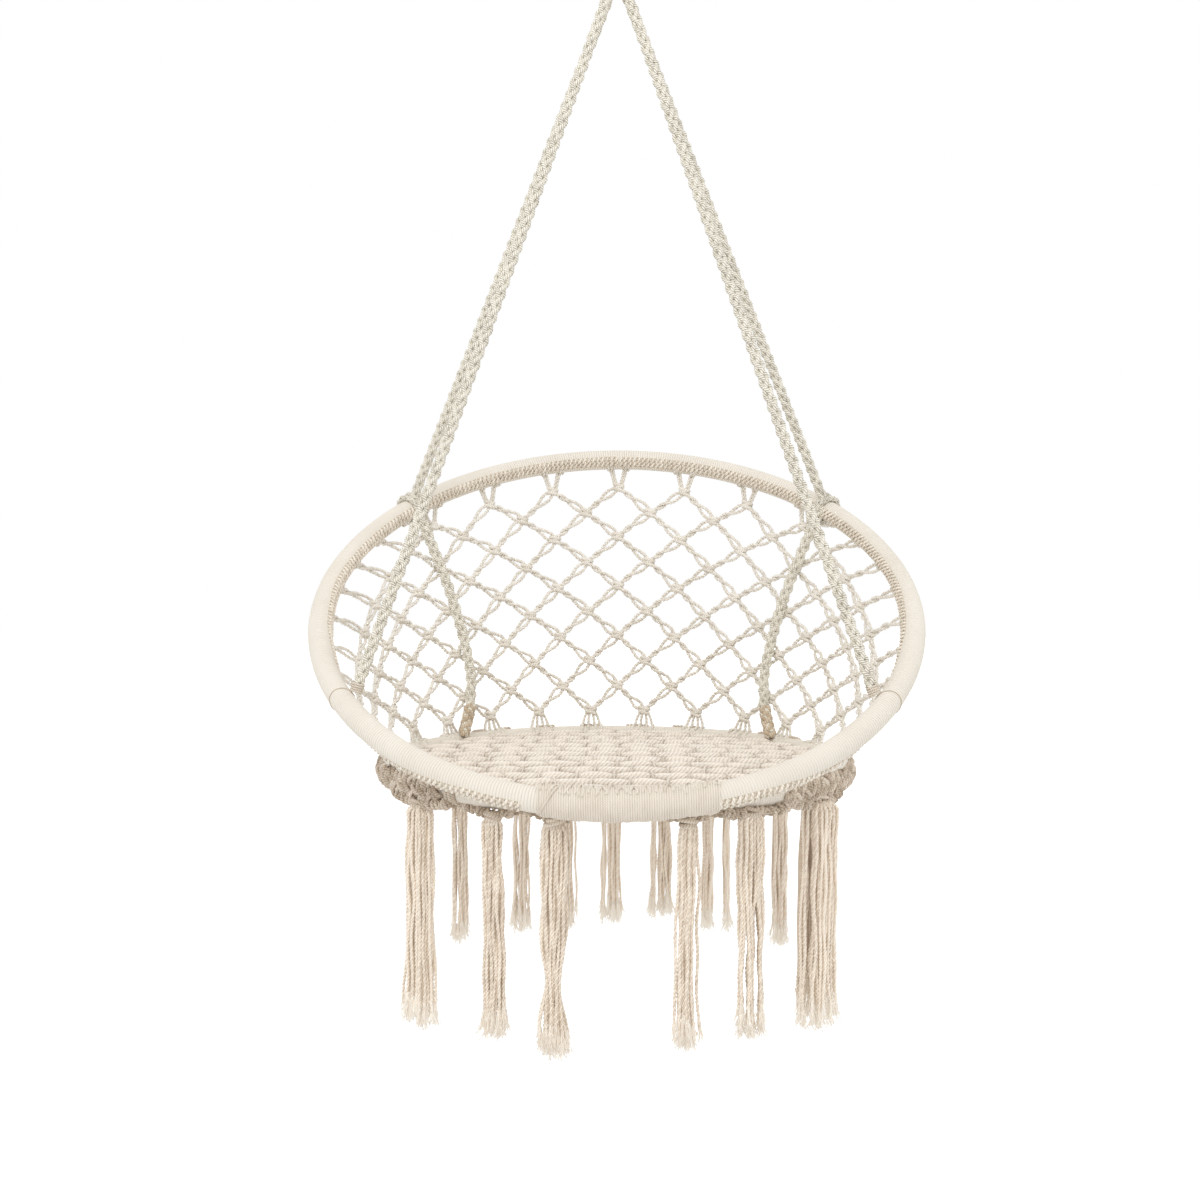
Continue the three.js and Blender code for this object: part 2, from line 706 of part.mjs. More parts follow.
// Binding: cord wound tightly round the four rope heads.
function ropeBinding() {
  const profile = [new THREE.Vector2(0, 0), new THREE.Vector2(binding_radius - binding_rib_height, 0)];
  const rib = binding_length / binding_ribs;
  for (let i = 0; i < binding_ribs; i++) {
    profile.push(new THREE.Vector2(binding_radius, (i + 1 / 2) * rib));
    profile.push(new THREE.Vector2(binding_radius - binding_rib_height, (i + 1) * rib));
  }
  profile.push(new THREE.Vector2(0, binding_length));
  return new THREE.LatheGeometry(profile, 12).rotateX(Math.PI / 2).translate(0, meeting.y, meeting.z);
}
addPiece("rope_binding", ropeBinding(), warm_cord);

// Loop of rope above the binding, over the ring's wire.
const loop_bend = ring_wire_radius + seating_gap + rope_radius;
const binding_top = rope_meeting_height + binding_length;
const ring_low_wire = binding_top + loop_leg_length;

function ropeLoop() {
  const path = new THREE.CurvePath();
  const at = (x, z) => new THREE.Vector3(x, meeting.y, z);
  const leg_foot = binding_top + seating_gap;
  path.add(new THREE.LineCurve3(at(-loop_bend, leg_foot), at(-loop_bend, ring_low_wire)));
  const bend_steps = 12;
  const bend_points = Array.from({ length: bend_steps + 1 }, (_, i) => {
    const a = Math.PI - (i * Math.PI) / bend_steps;
    return at(loop_bend * Math.cos(a), ring_low_wire + loop_bend * Math.sin(a));
  });
  for (let i = 1; i < bend_points.length; i++) path.add(new THREE.LineCurve3(bend_points[i - 1], bend_points[i]));
  path.add(new THREE.LineCurve3(at(loop_bend, ring_low_wire), at(loop_bend, leg_foot)));
  return tube(path, rope_radius, 20, rope_sides);
}
addPiece("hanging_loop", ropeLoop(), ivory_cord);

// Ring, in the plane that the chair swings fore and aft in.
const ring_centre_height = ring_low_wire + ring_radius;
const ring = new THREE.TorusGeometry(ring_radius, ring_wire_radius, 8, 24);
ring.rotateY(Math.PI / 2).translate(0, meeting.y, ring_centre_height);
addPiece("hanging_ring", ring, steel);

// Hook, an S of round bar in the plane across the ring.
const hook_low_wire = ring_centre_height + ring_radius - ring_wire_radius - hook_wire_radius - seating_gap;

function hangingHook() {
  const low = hook_low_wire + hook_bend_radius;
  const high = low + 2 * hook_bend_radius;
  const points = [];
  const add = (centre, degrees) => {
    const a = THREE.MathUtils.degToRad(degrees);
    points.push(new THREE.Vector3(hook_bend_radius * Math.cos(a), meeting.y, centre + hook_bend_radius * Math.sin(a)));
  };
  const bend_step = 15;
  for (let a = 165; a <= 450; a += bend_step) add(low, a);
  for (let a = 270 - bend_step; a >= -15; a -= bend_step) add(high, a);
  return tube(new THREE.CatmullRomCurve3(points), hook_wire_radius, 36, 8);
}
addPiece("hanging_hook", hangingHook(), steel);

// Fringe: each cord hangs in a V from the seat hoop, and its tassel from the bottom of the V.
// Places round the seat hoop from its front, in degrees: six at the front and seven at the rear.
const fringe_degrees = [-50, -27, -12.5, 16.3, 31.5, 55, 127.6, 150.3, 167.4, 181.4, 195, 208.5, 229.7];

function fringePoint(angle, outset, height) {
  const { out } = hoopDirections(seat_hoop, angle);
  return out.multiplyScalar(seat_hoop_radius + outset).setZ(height);
}

function fringeCord(angle) {
  const low = -lashing_radius - fringe_drop;
  const path = new THREE.CatmullRomCurve3([
    fringePoint(angle - fringe_spread, 0, -hoop_tube_radius),
    fringePoint(angle - fringe_spread / 2, fringe_outset / 2, low / 2 - hoop_tube_radius / 2),
    fringePoint(angle, fringe_outset, low),
    fringePoint(angle + fringe_spread / 2, fringe_outset / 2, low / 2 - hoop_tube_radius / 2),
    fringePoint(angle + fringe_spread, 0, -hoop_tube_radius),
  ]);
  const cord = toManifold(tube(path, fringe_cord_radius, 8, 6)).subtract(seat_wrap_cutter);
  const near_lashing = Math.abs(Math.sin(angle)) < 2 * Math.sin(lashing_right_angle) && Math.cos(angle) > 0;
  return { geometry: toGeometry(near_lashing ? cord.subtract(lashing_cutter) : cord), low: low - fringe_cord_radius };
}

// Down the tassel: how far, how wide and how fluted, as shares.
const tassel_shares = [
  { down: 0, wide: 0.39, flute: 0 },
  { down: 0.03, wide: 0.74, flute: 0.05 },
  { down: 0.075, wide: 0.72, flute: 0.05 },
  { down: 0.105, wide: 0.51, flute: 0.1 },
  { down: 0.3, wide: 0.78, flute: 0.16 },
  { down: 0.7, wide: 0.83, flute: 0.2 },
  { down: 1, wide: 1, flute: 0.24 },
];

function tassel(angle, top) {
  const sides = 10;
  const centre = fringePoint(angle, fringe_outset, top - seating_gap);
  const { out, along } = hoopDirections(seat_hoop, angle);
  const rings = tassel_shares.map(({ down, wide, flute }) =>
    Array.from({ length: sides }, (_, i) => {
      const a = (i * full_turn) / sides;
      const size = wide * (i % 2 ? 1 - flute : 1);
      return centre
        .clone()
        .addScaledVector(along, tassel_half_width * size * Math.cos(a))
        .addScaledVector(out, tassel_half_depth * size * Math.sin(a))
        .setZ(centre.z - down * tassel_length);
    }),
  );
  return loft(rings);
}

fringe_degrees.forEach((degrees, i) => {
  const angle = THREE.MathUtils.degToRad(degrees);
  const number = String(i + 1).padStart(2, "0");
  const cord = fringeCord(angle);
  addPiece(`fringe_cord_${number}`, cord.geometry, warm_cord);
  addPiece(`tassel_${number}`, tassel(angle, cord.low), ivory_cord);
});

// The part's origin is where the hook hangs: the inside of its upper bend.
const bearing_height = hook_low_wire + 4 * hook_bend_radius - hook_wire_radius;
chair.position.set(0, -hang_setback, -bearing_height);

const hammock_chair = new THREE.Group();
hammock_chair.add(chair);
export default hammock_chair;
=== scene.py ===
"""The looks of a hanging hammock chair: two cord-wound hoops, a knotted net, a woven seat, a tasselled fringe
and the ropes that it hangs from."""

import math

import bpy
import numpy as np
from mathutils import Matrix, Vector


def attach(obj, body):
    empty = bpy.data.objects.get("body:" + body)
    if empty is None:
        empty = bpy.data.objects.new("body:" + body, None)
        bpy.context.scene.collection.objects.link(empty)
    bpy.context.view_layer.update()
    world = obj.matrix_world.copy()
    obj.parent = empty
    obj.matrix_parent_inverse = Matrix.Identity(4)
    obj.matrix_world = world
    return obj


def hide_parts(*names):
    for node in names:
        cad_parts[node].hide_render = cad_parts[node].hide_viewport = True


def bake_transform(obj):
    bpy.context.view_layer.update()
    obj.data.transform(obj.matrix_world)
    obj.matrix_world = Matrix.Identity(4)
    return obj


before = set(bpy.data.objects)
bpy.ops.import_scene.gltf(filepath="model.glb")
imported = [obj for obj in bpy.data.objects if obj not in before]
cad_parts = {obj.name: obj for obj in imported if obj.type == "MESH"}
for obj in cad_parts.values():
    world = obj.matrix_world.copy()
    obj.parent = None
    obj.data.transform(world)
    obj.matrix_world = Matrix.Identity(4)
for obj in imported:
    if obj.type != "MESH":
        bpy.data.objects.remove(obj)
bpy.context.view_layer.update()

# Camera: it stands about two metres in front of the chair, a little above the back hoop's middle, and looks a
# little down, as the photograph does.
eye = (0.02004, -1.94518, -0.92543)
turned_left, looks_down, rolled = (math.radians(a) for a in (1.232, 1.882, 0.16))
bpy.ops.object.select_all(action="DESELECT")
bpy.ops.object.camera_add(location=eye)
camera = bpy.context.object
camera.name = "camera"
camera.data.sensor_width = 36
camera.data.lens = 42.917
camera.data.clip_end = 50
sideways = np.array([math.cos(turned_left), math.sin(turned_left), 0])
forward = np.array([
    -math.sin(turned_left) * math.cos(looks_down),
    math.cos(turned_left) * math.cos(looks_down),
    -math.sin(looks_down),
])
upward = np.cross(sideways, forward)
picture_right = math.cos(rolled) * sideways + math.sin(rolled) * upward
picture_up = -math.sin(rolled) * sideways + math.cos(rolled) * upward
directions = np.array([picture_right, picture_up, -forward]).T
camera.matrix_world = Matrix([[*row, place] for row, place in zip(directions, eye)] + [[0, 0, 0, 1]])
bpy.context.scene.camera = camera

# Suspension ropes: four plaits of cotton cord, each of six strands that pass over and under one another.
# The front two are worked into the back hoop at its sides, the rear two are hitched round it, and all four
# meet under the binding.
mm = 0.001
seat_centre = np.array([0, -10, -1210.7]) * mm
seat_hoop = {"centre": seat_centre, "radius": 300 * mm, "lean": 0.0}
back_centre = seat_centre + np.array([0, 1.95, 216.22]) * mm
back_hoop = {"centre": back_centre, "radius": 397 * mm, "lean": math.radians(33)}
wrap_radius = 15 * mm
rope_thickness = 13 * mm
front_rope_turn, rear_rope_turn = math.radians(58), math.radians(128)
front_rope_lean = math.radians(15)
meeting_height = 1046 * mm
both_sides = ((-1, "left"), (1, "right"))
chance = np.random.default_rng(7)


def unit(v):
    return v / np.linalg.norm(v, axis=-1, keepdims=True)


def hoop_out(hoop, turn):
    """Out from the hoop's centre, at a turn from its front, positive to the right."""
    turn = np.asarray(turn, float)
    c, s = math.cos(hoop["lean"]), math.sin(hoop["lean"])
    return np.stack([np.sin(turn), -np.cos(turn) * c, -np.cos(turn) * s], -1)


def hoop_along(hoop, turn):
    """Along the hoop, to the right at its front."""
    turn = np.asarray(turn, float)
    c, s = math.cos(hoop["lean"]), math.sin(hoop["lean"])
    return np.stack([np.cos(turn), np.sin(turn) * c, np.sin(turn) * s], -1)


def hoop_square(hoop):
    """Square to the hoop's plane, upwards."""
    return np.array([0, -math.sin(hoop["lean"]), math.cos(hoop["lean"])])


def hoop_middle(hoop, turn):
    return hoop["centre"] + hoop["radius"] * hoop_out(hoop, turn)


def round_hoop(hoop, turn, roll, far):
    """A place round the hoop's tube: roll is 0 on its outside and a quarter turn on its upper side."""
    roll, far = np.asarray(roll, float)[..., None], np.asarray(far, float)[..., None]
    way = np.cos(roll) * hoop_out(hoop, turn) + np.sin(roll) * hoop_square(hoop)
    return hoop_middle(hoop, turn) + far * way


def lengths_along(paths):
    """How far along its line each point lies, for one line or for many."""
    steps = np.linalg.norm(np.diff(paths, axis=-2), axis=-1)
    return np.concatenate([np.zeros((*steps.shape[:-1], 1)), np.cumsum(steps, -1)], -1)


def respaced(path, step):
    """The same line with points at even steps."""
    path = np.asarray(path, float)
    along = lengths_along(path)
    stations = np.linspace(0, along[-1], max(2, round(along[-1] / step) + 1))
    return np.stack([np.interp(stations, along, path[:, i]) for i in range(3)], 1)


def eased(knots, step):
    """A smooth line through the given points, as a cord lies."""
    knots = np.asarray(knots, float)
    ends = np.vstack([2 * knots[0] - knots[1], knots, 2 * knots[-1] - knots[-2]])
    u = np.linspace(0, 1, 24, endpoint=False)[:, None]
    runs = []
    for a, b, c, d in zip(ends[:-3], ends[1:-2], ends[2:-1], ends[3:]):
        square, cube = 2 * a - 5 * b + 4 * c - d, 3 * b - 3 * c + d - a
        runs.append(0.5 * (2 * b + (c - a) * u + square * u**2 + cube * u**3))
    return respaced(np.vstack([*runs, knots[-1:]]), step)


def travelling_frames(paths, joined=False):
    """Directions along many lines at once, and two directions across each that don't spin."""
    ahead = np.empty_like(paths)
    ahead[:, 1:-1] = paths[:, 2:] - paths[:, :-2]
    ahead[:, 0] = paths[:, 1] - (paths[:, -1] if joined else paths[:, 0])
    ahead[:, -1] = (paths[:, 0] if joined else paths[:, -1]) - paths[:, -2]
    ahead = unit(ahead)
    across = np.empty_like(paths)
    least = np.eye(3)[np.abs(ahead[:, 0]).argmin(1)]
    across[:, 0] = unit(np.cross(ahead[:, 0], least))
    for i in range(1, paths.shape[1]):
        flat = across[:, i - 1] - (across[:, i - 1] * ahead[:, i]).sum(1, keepdims=True) * ahead[:, i]
        across[:, i] = unit(flat)
    return ahead, across, np.cross(ahead, across)


class CordWork:
    """Cords that are gathered into one piece. Each is a closed tube. The UV map holds how far along its cord
    a place is, in metres, and how far round it, in turns. The attribute tone holds how pale the cord is
    drawn: in some places a random difference, in others painted shade, such as dark cores and dark groove
    cords."""

    def __init__(self):
        self.points, self.corners, self.starts, self.places, self.shades = [], [], [], [], []
        self.count = self.corner_count = 0

    def _faces(self, corners, places):
        per_face = corners.shape[-1]
        corners = corners.reshape(-1, per_face)
        self.starts.append(self.corner_count + per_face * np.arange(len(corners)))
        self.corners.append(corners.ravel())
        self.places.append(places.reshape(-1, 2))
        self.corner_count += corners.size

    def lay(self, paths, thick, sides, shade, joined=False):
        """Adds a tube of half-width thick round one line, or round many lines of equally many points."""
        paths = np.asarray(paths, float)
        paths = paths[None] if paths.ndim == 2 else paths
        k, n = paths.shape[:2]
        ahead, across, beside = travelling_frames(paths, joined)
        angles = 2 * math.pi * np.arange(sides) / sides
        thick = np.broadcast_to(np.asarray(thick, float), (k, n))[..., None, None]
        spokes = np.cos(angles)[:, None] * across[:, :, None] + np.sin(angles)[:, None] * beside[:, :, None]
        rings = paths[:, :, None] + thick * spokes
        self.points.append(rings.reshape(-1, 3))
        shade = np.asarray(shade, float)
        shade = shade[:, None] if shade.ndim == 1 else shade
        self.shades.append(np.repeat(np.broadcast_to(shade, (k, n)).ravel(), sides))
        index = self.count + np.arange(k * n * sides).reshape(k, n, sides)
        along = lengths_along(paths) + chance.uniform(0, 1, (k, 1))
        after, after_along = index[:, 1:], along[:, 1:]
        if joined:
            after = np.concatenate([after, index[:, :1]], 1)
            closing = np.linalg.norm(paths[:, 0] - paths[:, -1], axis=1)[:, None]
            after_along = np.concatenate([after_along, along[:, -1:] + closing], 1)
        before, before_along = index[:, : after.shape[1]], along[:, : after.shape[1]]
        corners = np.stack([before, np.roll(before, -1, 2), np.roll(after, -1, 2), after], -1)
        turn = np.arange(sides) / sides
        u = np.stack([before_along, before_along, after_along, after_along], -1)[:, :, None]
        v = np.stack([turn, turn + 1 / sides, turn + 1 / sides, turn], -1)
        self._faces(corners, np.stack(np.broadcast_arrays(u, v), -1))
        if not joined:
            for ring, place in ((index[:, 0, ::-1], along[:, :1]), (index[:, -1], along[:, -1:])):
                self._faces(ring, np.stack(np.broadcast_arrays(place, turn), -1))
        self.count += k * n * sides

    def twist(self, paths, half_width, turn_length, shade):
        """Adds two-ply cord: its plies, one paler than the other, wind round each other along every line."""
        off_middle, ply_half_width = 0.45, 0.58
        _, across, beside = travelling_frames(paths)
        along = lengths_along(paths)
        half_width = np.broadcast_to(half_width, along.shape)
        start = chance.uniform(0, 2 * math.pi, (len(paths), 1))
        for ply, paler in ((0, -0.2), (math.pi, 0.2)):
            angle = (start + ply + 2 * math.pi * along / turn_length)[..., None]
            aside = off_middle * half_width[..., None] * (np.cos(angle) * across + np.sin(angle) * beside)
            self.lay(paths + aside, ply_half_width * half_width, sides=4, shade=shade + paler)

    def piece(self, name, finish):
        """Makes the gathered cords one object."""
        mesh = bpy.data.meshes.new(name)
        points, corners, starts = (np.concatenate(rows) for rows in (self.points, self.corners, self.starts))
        mesh.vertices.add(len(points))
        mesh.vertices.foreach_set("co", points.astype(np.float32).ravel())
        mesh.loops.add(len(corners))
        mesh.loops.foreach_set("vertex_index", corners.astype(np.int32))
        mesh.polygons.add(len(starts))
        mesh.polygons.foreach_set("loop_start", starts.astype(np.int32))
        mesh.update(calc_edges=True)
        spots = np.concatenate(self.places).astype(np.float32).ravel()
        mesh.uv_layers.new(name="cord").uv.foreach_set("vector", spots)
        tone = mesh.attributes.new("tone", "FLOAT", "POINT")
        tone.data.foreach_set("value", np.concatenate(self.shades).astype(np.float32))
        mesh.shade_smooth()
        mesh.materials.append(finish)
        made = bpy.data.objects.new(name, mesh)
        bpy.context.scene.collection.objects.link(made)
        return made


def wound_round(path, sides, angle, far):
    """A line that winds round another, with an angle and a distance for each of its points."""
    across, beside = sides
    return path + (far * np.cos(angle))[:, None] * across + (far * np.sin(angle))[:, None] * beside


def plait(work, path, half_width, repeat, tone=0.5):
    """Six strands round a soft core: half climb to the right and half to the left, over and under in turn."""
    each_hand, points_in_repeat = 3, 24
    strand, swell = 0.35 * half_width, 0.13 * half_width
    middle = half_width - strand - swell
    path = respaced(path, repeat / points_in_repeat)
    _, *sides = (d[0] for d in travelling_frames(path[None]))
    climb = 2 * math.pi * lengths_along(path) / repeat
    lines = []
    for hand in (1, -1):
        far = middle + hand * swell * np.cos(each_hand * climb)
        for start in range(each_hand):
            angle = 2 * math.pi * start / each_hand + hand * climb
            lines.append(wound_round(path, sides, angle, far))
    work.lay(np.array(lines), strand, sides=6, shade=tone + chance.uniform(-0.28, 0.28, len(lines)))
    # The core is drawn much darker than the strands: painted shade in the creases between them.
    work.lay(path, 0.85 * middle, sides=8, shade=tone - 0.7)


def whipping(work, path, half_width, cord, tone=0.5):
    """Cord wound closely round a line, turn against turn, some turns a little further out."""
    points_in_turn, unevenness = 14, 0.25 * mm
    total = lengths_along(path)[-1]
    turns = max(2, round(total / (2 * cord)))
    fine = respaced(path, total / (turns * points_in_turn))
    _, *sides = (d[0] for d in travelling_frames(fine[None]))
    angle = 2 * math.pi * turns * lengths_along(fine) / total
    far = half_width - cord + unevenness * np.sin(0.37 * angle + 1)
    work.lay(wound_round(fine, sides, angle, far), cord, sides=6, shade=tone)


def tone_of(red, green, blue):
    """A colour as it is read off a screen, from 0 to 255, as the shader wants it."""
    shares = (red / 255, green / 255, blue / 255)
    return tuple((c / 12.92 if c <= 0.04045 else ((c + 0.055) / 1.055) ** 2.4) for c in shares) + (1,)


class Reading:
    """A number that changes over a surface. Sums with it become Math nodes."""

    def __init__(self, finish, socket):
        self.finish, self.socket = finish, socket

    def _sum(self, operation, *values):
        return self.finish.node("ShaderNodeMath", {"operation": operation}, dict(enumerate(values)))

    def __add__(self, other):
        return self._sum("ADD", self, other)

    def __mul__(self, other):
        return self._sum("MULTIPLY", self, other)

    def __pow__(self, other):
        return self._sum("POWER", self, other)

    __radd__, __rmul__ = __add__, __mul__

    def sine(self):
        return self._sum("SINE", self)

    def size(self):
        return self._sum("ABSOLUTE", self)


class Finish:
    """The nodes of one material, or of the room."""

    def __init__(self, owner, ending="ShaderNodeOutputMaterial"):
        self.owner = owner
        owner.use_nodes = True
        self.tree = owner.node_tree
        self.tree.nodes.clear()
        self.output = self.tree.nodes.new(ending)

    def node(self, kind, settings, sockets, result=0):
        """Adds a node: its settings first, then what its sockets hold. The answer is one of its outputs."""
        node = self.tree.nodes.new(kind)
        for key, value in settings.items():
            setattr(node, key, value)
        for key, value in sockets.items():
            if isinstance(value, Reading):
                self.tree.links.new(value.socket, node.inputs[key])
            else:
                node.inputs[key].default_value = value
        return Reading(self, node.outputs[result])

    def where(self):
        return self.node("ShaderNodeTexCoord", {}, {}, "Object")

    def cord_place(self, uv_map):
        """How far along and how far round a place is."""
        spot = self.node("ShaderNodeUVMap", {"uv_map": uv_map}, {}, "UV")
        return [self.node("ShaderNodeSeparateXYZ", {}, {0: spot}, axis) for axis in "XY"]

    def tone(self):
        return self.node("ShaderNodeAttribute", {"attribute_name": "tone"}, {}, "Fac")

    def noise(self, place, scale, detail):
        return self.node("ShaderNodeTexNoise", {}, {"Vector": place, "Scale": scale, "Detail": detail}, "Fac")

    def mixed(self, share, first, second):
        return self.node("ShaderNodeMix", {"data_type": "RGBA"}, {"Factor": share, 6: first, 7: second}, 2)

    def relief(self, height, depth):
        sockets = {"Strength": 1.0, "Distance": depth, "Height": height}
        return self.node("ShaderNodeBump", {}, sockets, "Normal")

    def ends_in(self, shader):
        self.tree.links.new(shader.socket, self.output.inputs["Surface"])

    def surface(self, sockets):
        """Ends the material in a surface shader."""
        self.ends_in(self.node("ShaderNodeBsdfPrincipled", {}, sockets, "BSDF"))
        return self.owner


def cotton(name, light, deep, plies, lay_length, depth, contrast=0.55, through=0.0):
    """Twisted cotton cord: its plies wind round it, painted shade darkens its grooves, and it is mottled
    and fluffy.

    The plies go once round in the lay length, the relief is as deep as depth, contrast is how much
    painted shade darkens the grooves, and through is the strength of a faint glow in the cord's own colour:
    painted light that stands in for light coming through thin cords."""
    finish = Finish(bpy.data.materials.new(name))
    place = finish.where()
    along, around = finish.cord_place("cord")
    crest = ((around * plies + along * (plies / lay_length)) * math.pi).sine().size() ** 0.6
    fluff = finish.noise(place, 1100, 2)
    blotch = finish.noise(place, 55, 3)
    height = crest + fluff * 0.5
    # Crests are paler than grooves, which is painted shade. The tone attribute, which carries painted shade
    # in some pieces, and blotches and fluff shift the colour too.
    mottle_and_painted_shade = crest * contrast + finish.tone() * 0.5 + blotch * 0.55 + fluff * 0.25 + (0.03 - 0.69 * contrast)
    colour = finish.mixed(mottle_and_painted_shade, tone_of(*deep), tone_of(*light))
    sockets = {"Base Color": colour, "Roughness": 0.92, "Specular IOR Level": 0.2, "Sheen Weight": 0.12}
    # A faint glow in the cord's own colour, as strong as through: painted light for light passing through
    # thin cords.
    sockets |= {"Emission Color": colour, "Emission Strength": through}
    return finish.surface(sockets | {"Normal": finish.relief(height, depth)})


rope_cotton = cotton(
    "plaited_cotton_rope", light=(255, 250, 236), deep=(114, 98, 72),
    plies=3, lay_length=9 * mm, depth=0.9 * mm, contrast=0.75,
)


def declared_rope(path, node):
    """Hides the CAD rope that a plait stands in for."""
    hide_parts(node)
    path = [list(map(float, p)) for p in respaced(path, 12 * mm)]


meeting = seat_centre + np.array([0, 10 * mm, meeting_height])
heads_apart, into_binding = 7.5 * mm, 14 * mm
rope_half_width, rope_repeat = 8.1 * mm, 50 * mm
front_foot_lift, rear_foot_lift = 3 * mm, 19 * mm


def rope_ends(side, rear):
    """The lower and upper end of a rope's middle line. The front ones end against the inside of the hoop."""
    head = meeting + np.array([side, rear, 0]) * heads_apart
    if rear > 0:
        foot = hoop_middle(back_hoop, side * rear_rope_turn)
        return foot + unit(head - foot) * rear_foot_lift, head
    reach = wrap_radius + rope_thickness / 4
    foot = round_hoop(back_hoop, side * front_rope_turn, math.pi - front_rope_lean, reach)
    return foot + unit(head - foot) * front_foot_lift, head


for side, word in both_sides:
    for rear, where in ((-1, "front"), (1, "rear")):
        foot, head = rope_ends(side, rear)
        line = np.array([foot, head + unit(head - foot) * into_binding])
        work = CordWork()
        plait(work, line, rope_half_width, rope_repeat, tone=0.76)
        rope = work.piece(f"{where}_rope_{word}_plait", rope_cotton)
        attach(rope, "chair")
        declared_rope(line, f"{where}_rope_{word}")

# Seizings: the foot of each front rope is bound with four turns of cord where it meets the back hoop, and one
# slanting turn goes round the hoop there.
binding_cotton = cotton(
    "binding_cotton", light=(250, 241, 228), deep=(204, 187, 164), plies=3, lay_length=8 * mm, depth=0.5 * mm
)
seizing_half_width, seizing_cord = 8.6 * mm, 1.5 * mm
seizing_below, seizing_above = 2 * mm, 10 * mm
seam_cord, seam_slant = 0.9 * mm, 7 * mm
round_tube = np.linspace(0, 2 * math.pi, 40, endpoint=False)
for side, word in both_sides:
    foot, head = rope_ends(side, -1)
    up = unit(head - foot)
    work = CordWork()
    bound = np.array([foot - up * seizing_below, foot + up * seizing_above])
    whipping(work, bound, seizing_half_width, seizing_cord, tone=0.2)
    slant = side * (front_rope_turn + seam_slant / back_hoop["radius"] * np.sin(round_tube + 0.6))
    seam = round_hoop(back_hoop, slant, round_tube, wrap_radius + 0.1 * mm)
    work.lay(seam, seam_cord, sides=6, shade=-0.6, joined=True)
    seizing = work.piece(f"front_rope_seizing_{word}", binding_cotton)
    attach(seizing, "chair")

# Rear hitches: each rear rope takes two turns round the back hoop, one to either side of where it lands, and
# rides over itself where they cross.
hitch_spread, hitch_radius, hitch_half_width = 8.0 * mm, 19.4 * mm, 4.7 * mm
hitch_aside, hitch_lift, thin_repeat = 7 * mm, 1.5 * mm, 34 * mm
tail_roll = math.radians(195)
share = np.linspace(0, 1, 121)
over = np.exp(-(((share - 0.5) / 0.07) ** 2)) + np.exp(-((share / 0.05) ** 2))
for side, word in both_sides:
    turn = side * rear_rope_turn
    foot, head = rope_ends(side, 1)
    up = unit(head - foot)
    rope_roll = math.atan2(up @ hoop_square(back_hoop), up @ hoop_out(back_hoop, turn))
    roll = rope_roll + share * (4 * math.pi + tail_roll - rope_roll)
    slide = turn + side * (hitch_spread * np.sin(2 * math.pi * share) + hitch_aside) / back_hoop["radius"]
    line = round_hoop(back_hoop, slide, roll, hitch_radius + hitch_lift * over)
    work = CordWork()
    plait(work, line, hitch_half_width, thin_repeat, tone=0.75)
    hitch = work.piece(f"rear_hitch_{word}_turns", rope_cotton)
    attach(hitch, "chair")
    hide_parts(f"rear_hitch_{word}")

# Rear rope tails: below its hitch each rear rope runs down the inside of the net, and its end is sewn to the
# seat hoop. The last 50 mm of each tail are drawn a little thicker and golden-brown.
net_gap, more_below = 0.5 * mm, 0.7 * mm


def net_place(turn, share):
    """A place on the net: turn is from the middle of the back, positive to the right in the picture, and
    share is 0 at the back hoop and 1 at the seat hoop."""
    turn, share = np.broadcast_arrays(np.asarray(turn, float), np.asarray(share, float))
    top, bottom = hoop_middle(back_hoop, math.pi - turn), hoop_middle(seat_hoop, math.pi - turn)
    length = np.linalg.norm(bottom - top, axis=-1)
    line = unit(bottom - top)

    def slant(hoop):
        return np.linalg.norm(np.cross(line, hoop_along(hoop, math.pi - turn)), axis=-1)

    start = (wrap_radius + net_gap) / slant(back_hoop)
    end = length - (wrap_radius + net_gap + more_below) / slant(seat_hoop)
    return top + line * (start + share * (end - start))[..., None]


def net_outward(turn, share):
    """Out of the chair, square to the net."""
    across = net_place(turn + 0.01, share) - net_place(turn - 0.01, share)
    down = net_place(turn, 1.0) - net_place(turn, 0.0)
    return unit(np.cross(across, down))


def fold_with(piece):
    """Bakes the piece's placement into its mesh."""
    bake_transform(piece)


tail_turns = np.radians([51.5, 49.5, 47.6, 45.8, 44.7, 44.6, 47.2, 51.8])
tail_shares = np.array([-0.06, 0.1, 0.26, 0.43, 0.6, 0.76, 0.9, 1.02])
tail_inset, tail_half_width, tail_step = 12.3 * mm, 8.8 * mm, 2 * mm
end_steps, end_thicker = 26, 1.2 * mm
golden_cotton = cotton(
    "golden_brown_tail_end_cotton", light=(244, 228, 204), deep=(150, 122, 88),
    plies=3, lay_length=8 * mm, depth=0.6 * mm,
)
for side, word in both_sides:
    inward = -net_outward(side * tail_turns, tail_shares)
    line = eased(net_place(side * tail_turns, tail_shares) + tail_inset * inward, tail_step)
    work = CordWork()
    plait(work, line, tail_half_width, rope_repeat, tone=0.88)
    tail = work.piece(f"rear_rope_tail_{word}_plait", rope_cotton)
    fold_with(tail)
    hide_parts(f"rear_rope_tail_{word}")
    work = CordWork()
    plait(work, line[-end_steps:], tail_half_width + end_thicker, 36 * mm, tone=0.3)
    seizing = work.piece(f"rear_tail_golden_end_{word}", golden_cotton)
    fold_with(seizing)

# Binding: the heads of the four ropes and the legs of the loop are laid together round a stuffed core, and
# close turns of cotton cord bind them.
binding_length, binding_radius, binding_cord = 44 * mm, 19 * mm, 2.0 * mm
work = CordWork()
whipping(work, np.array([meeting, meeting + [0, 0, binding_length]]), binding_radius, binding_cord)
core_share = np.array([0.0, 0.02, 0.5, 0.98, 1.0])
core_line = meeting + np.outer(core_share * (binding_length - 2 * mm) + 1 * mm, [0, 0, 1])
work.lay(core_line, np.array([0.5, 0.86, 0.88, 0.86, 0.5]) * binding_radius, sides=20, shade=0.3)
binding = work.piece("rope_binding_turns", binding_cotton)
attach(binding, "chair")
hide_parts("rope_binding")

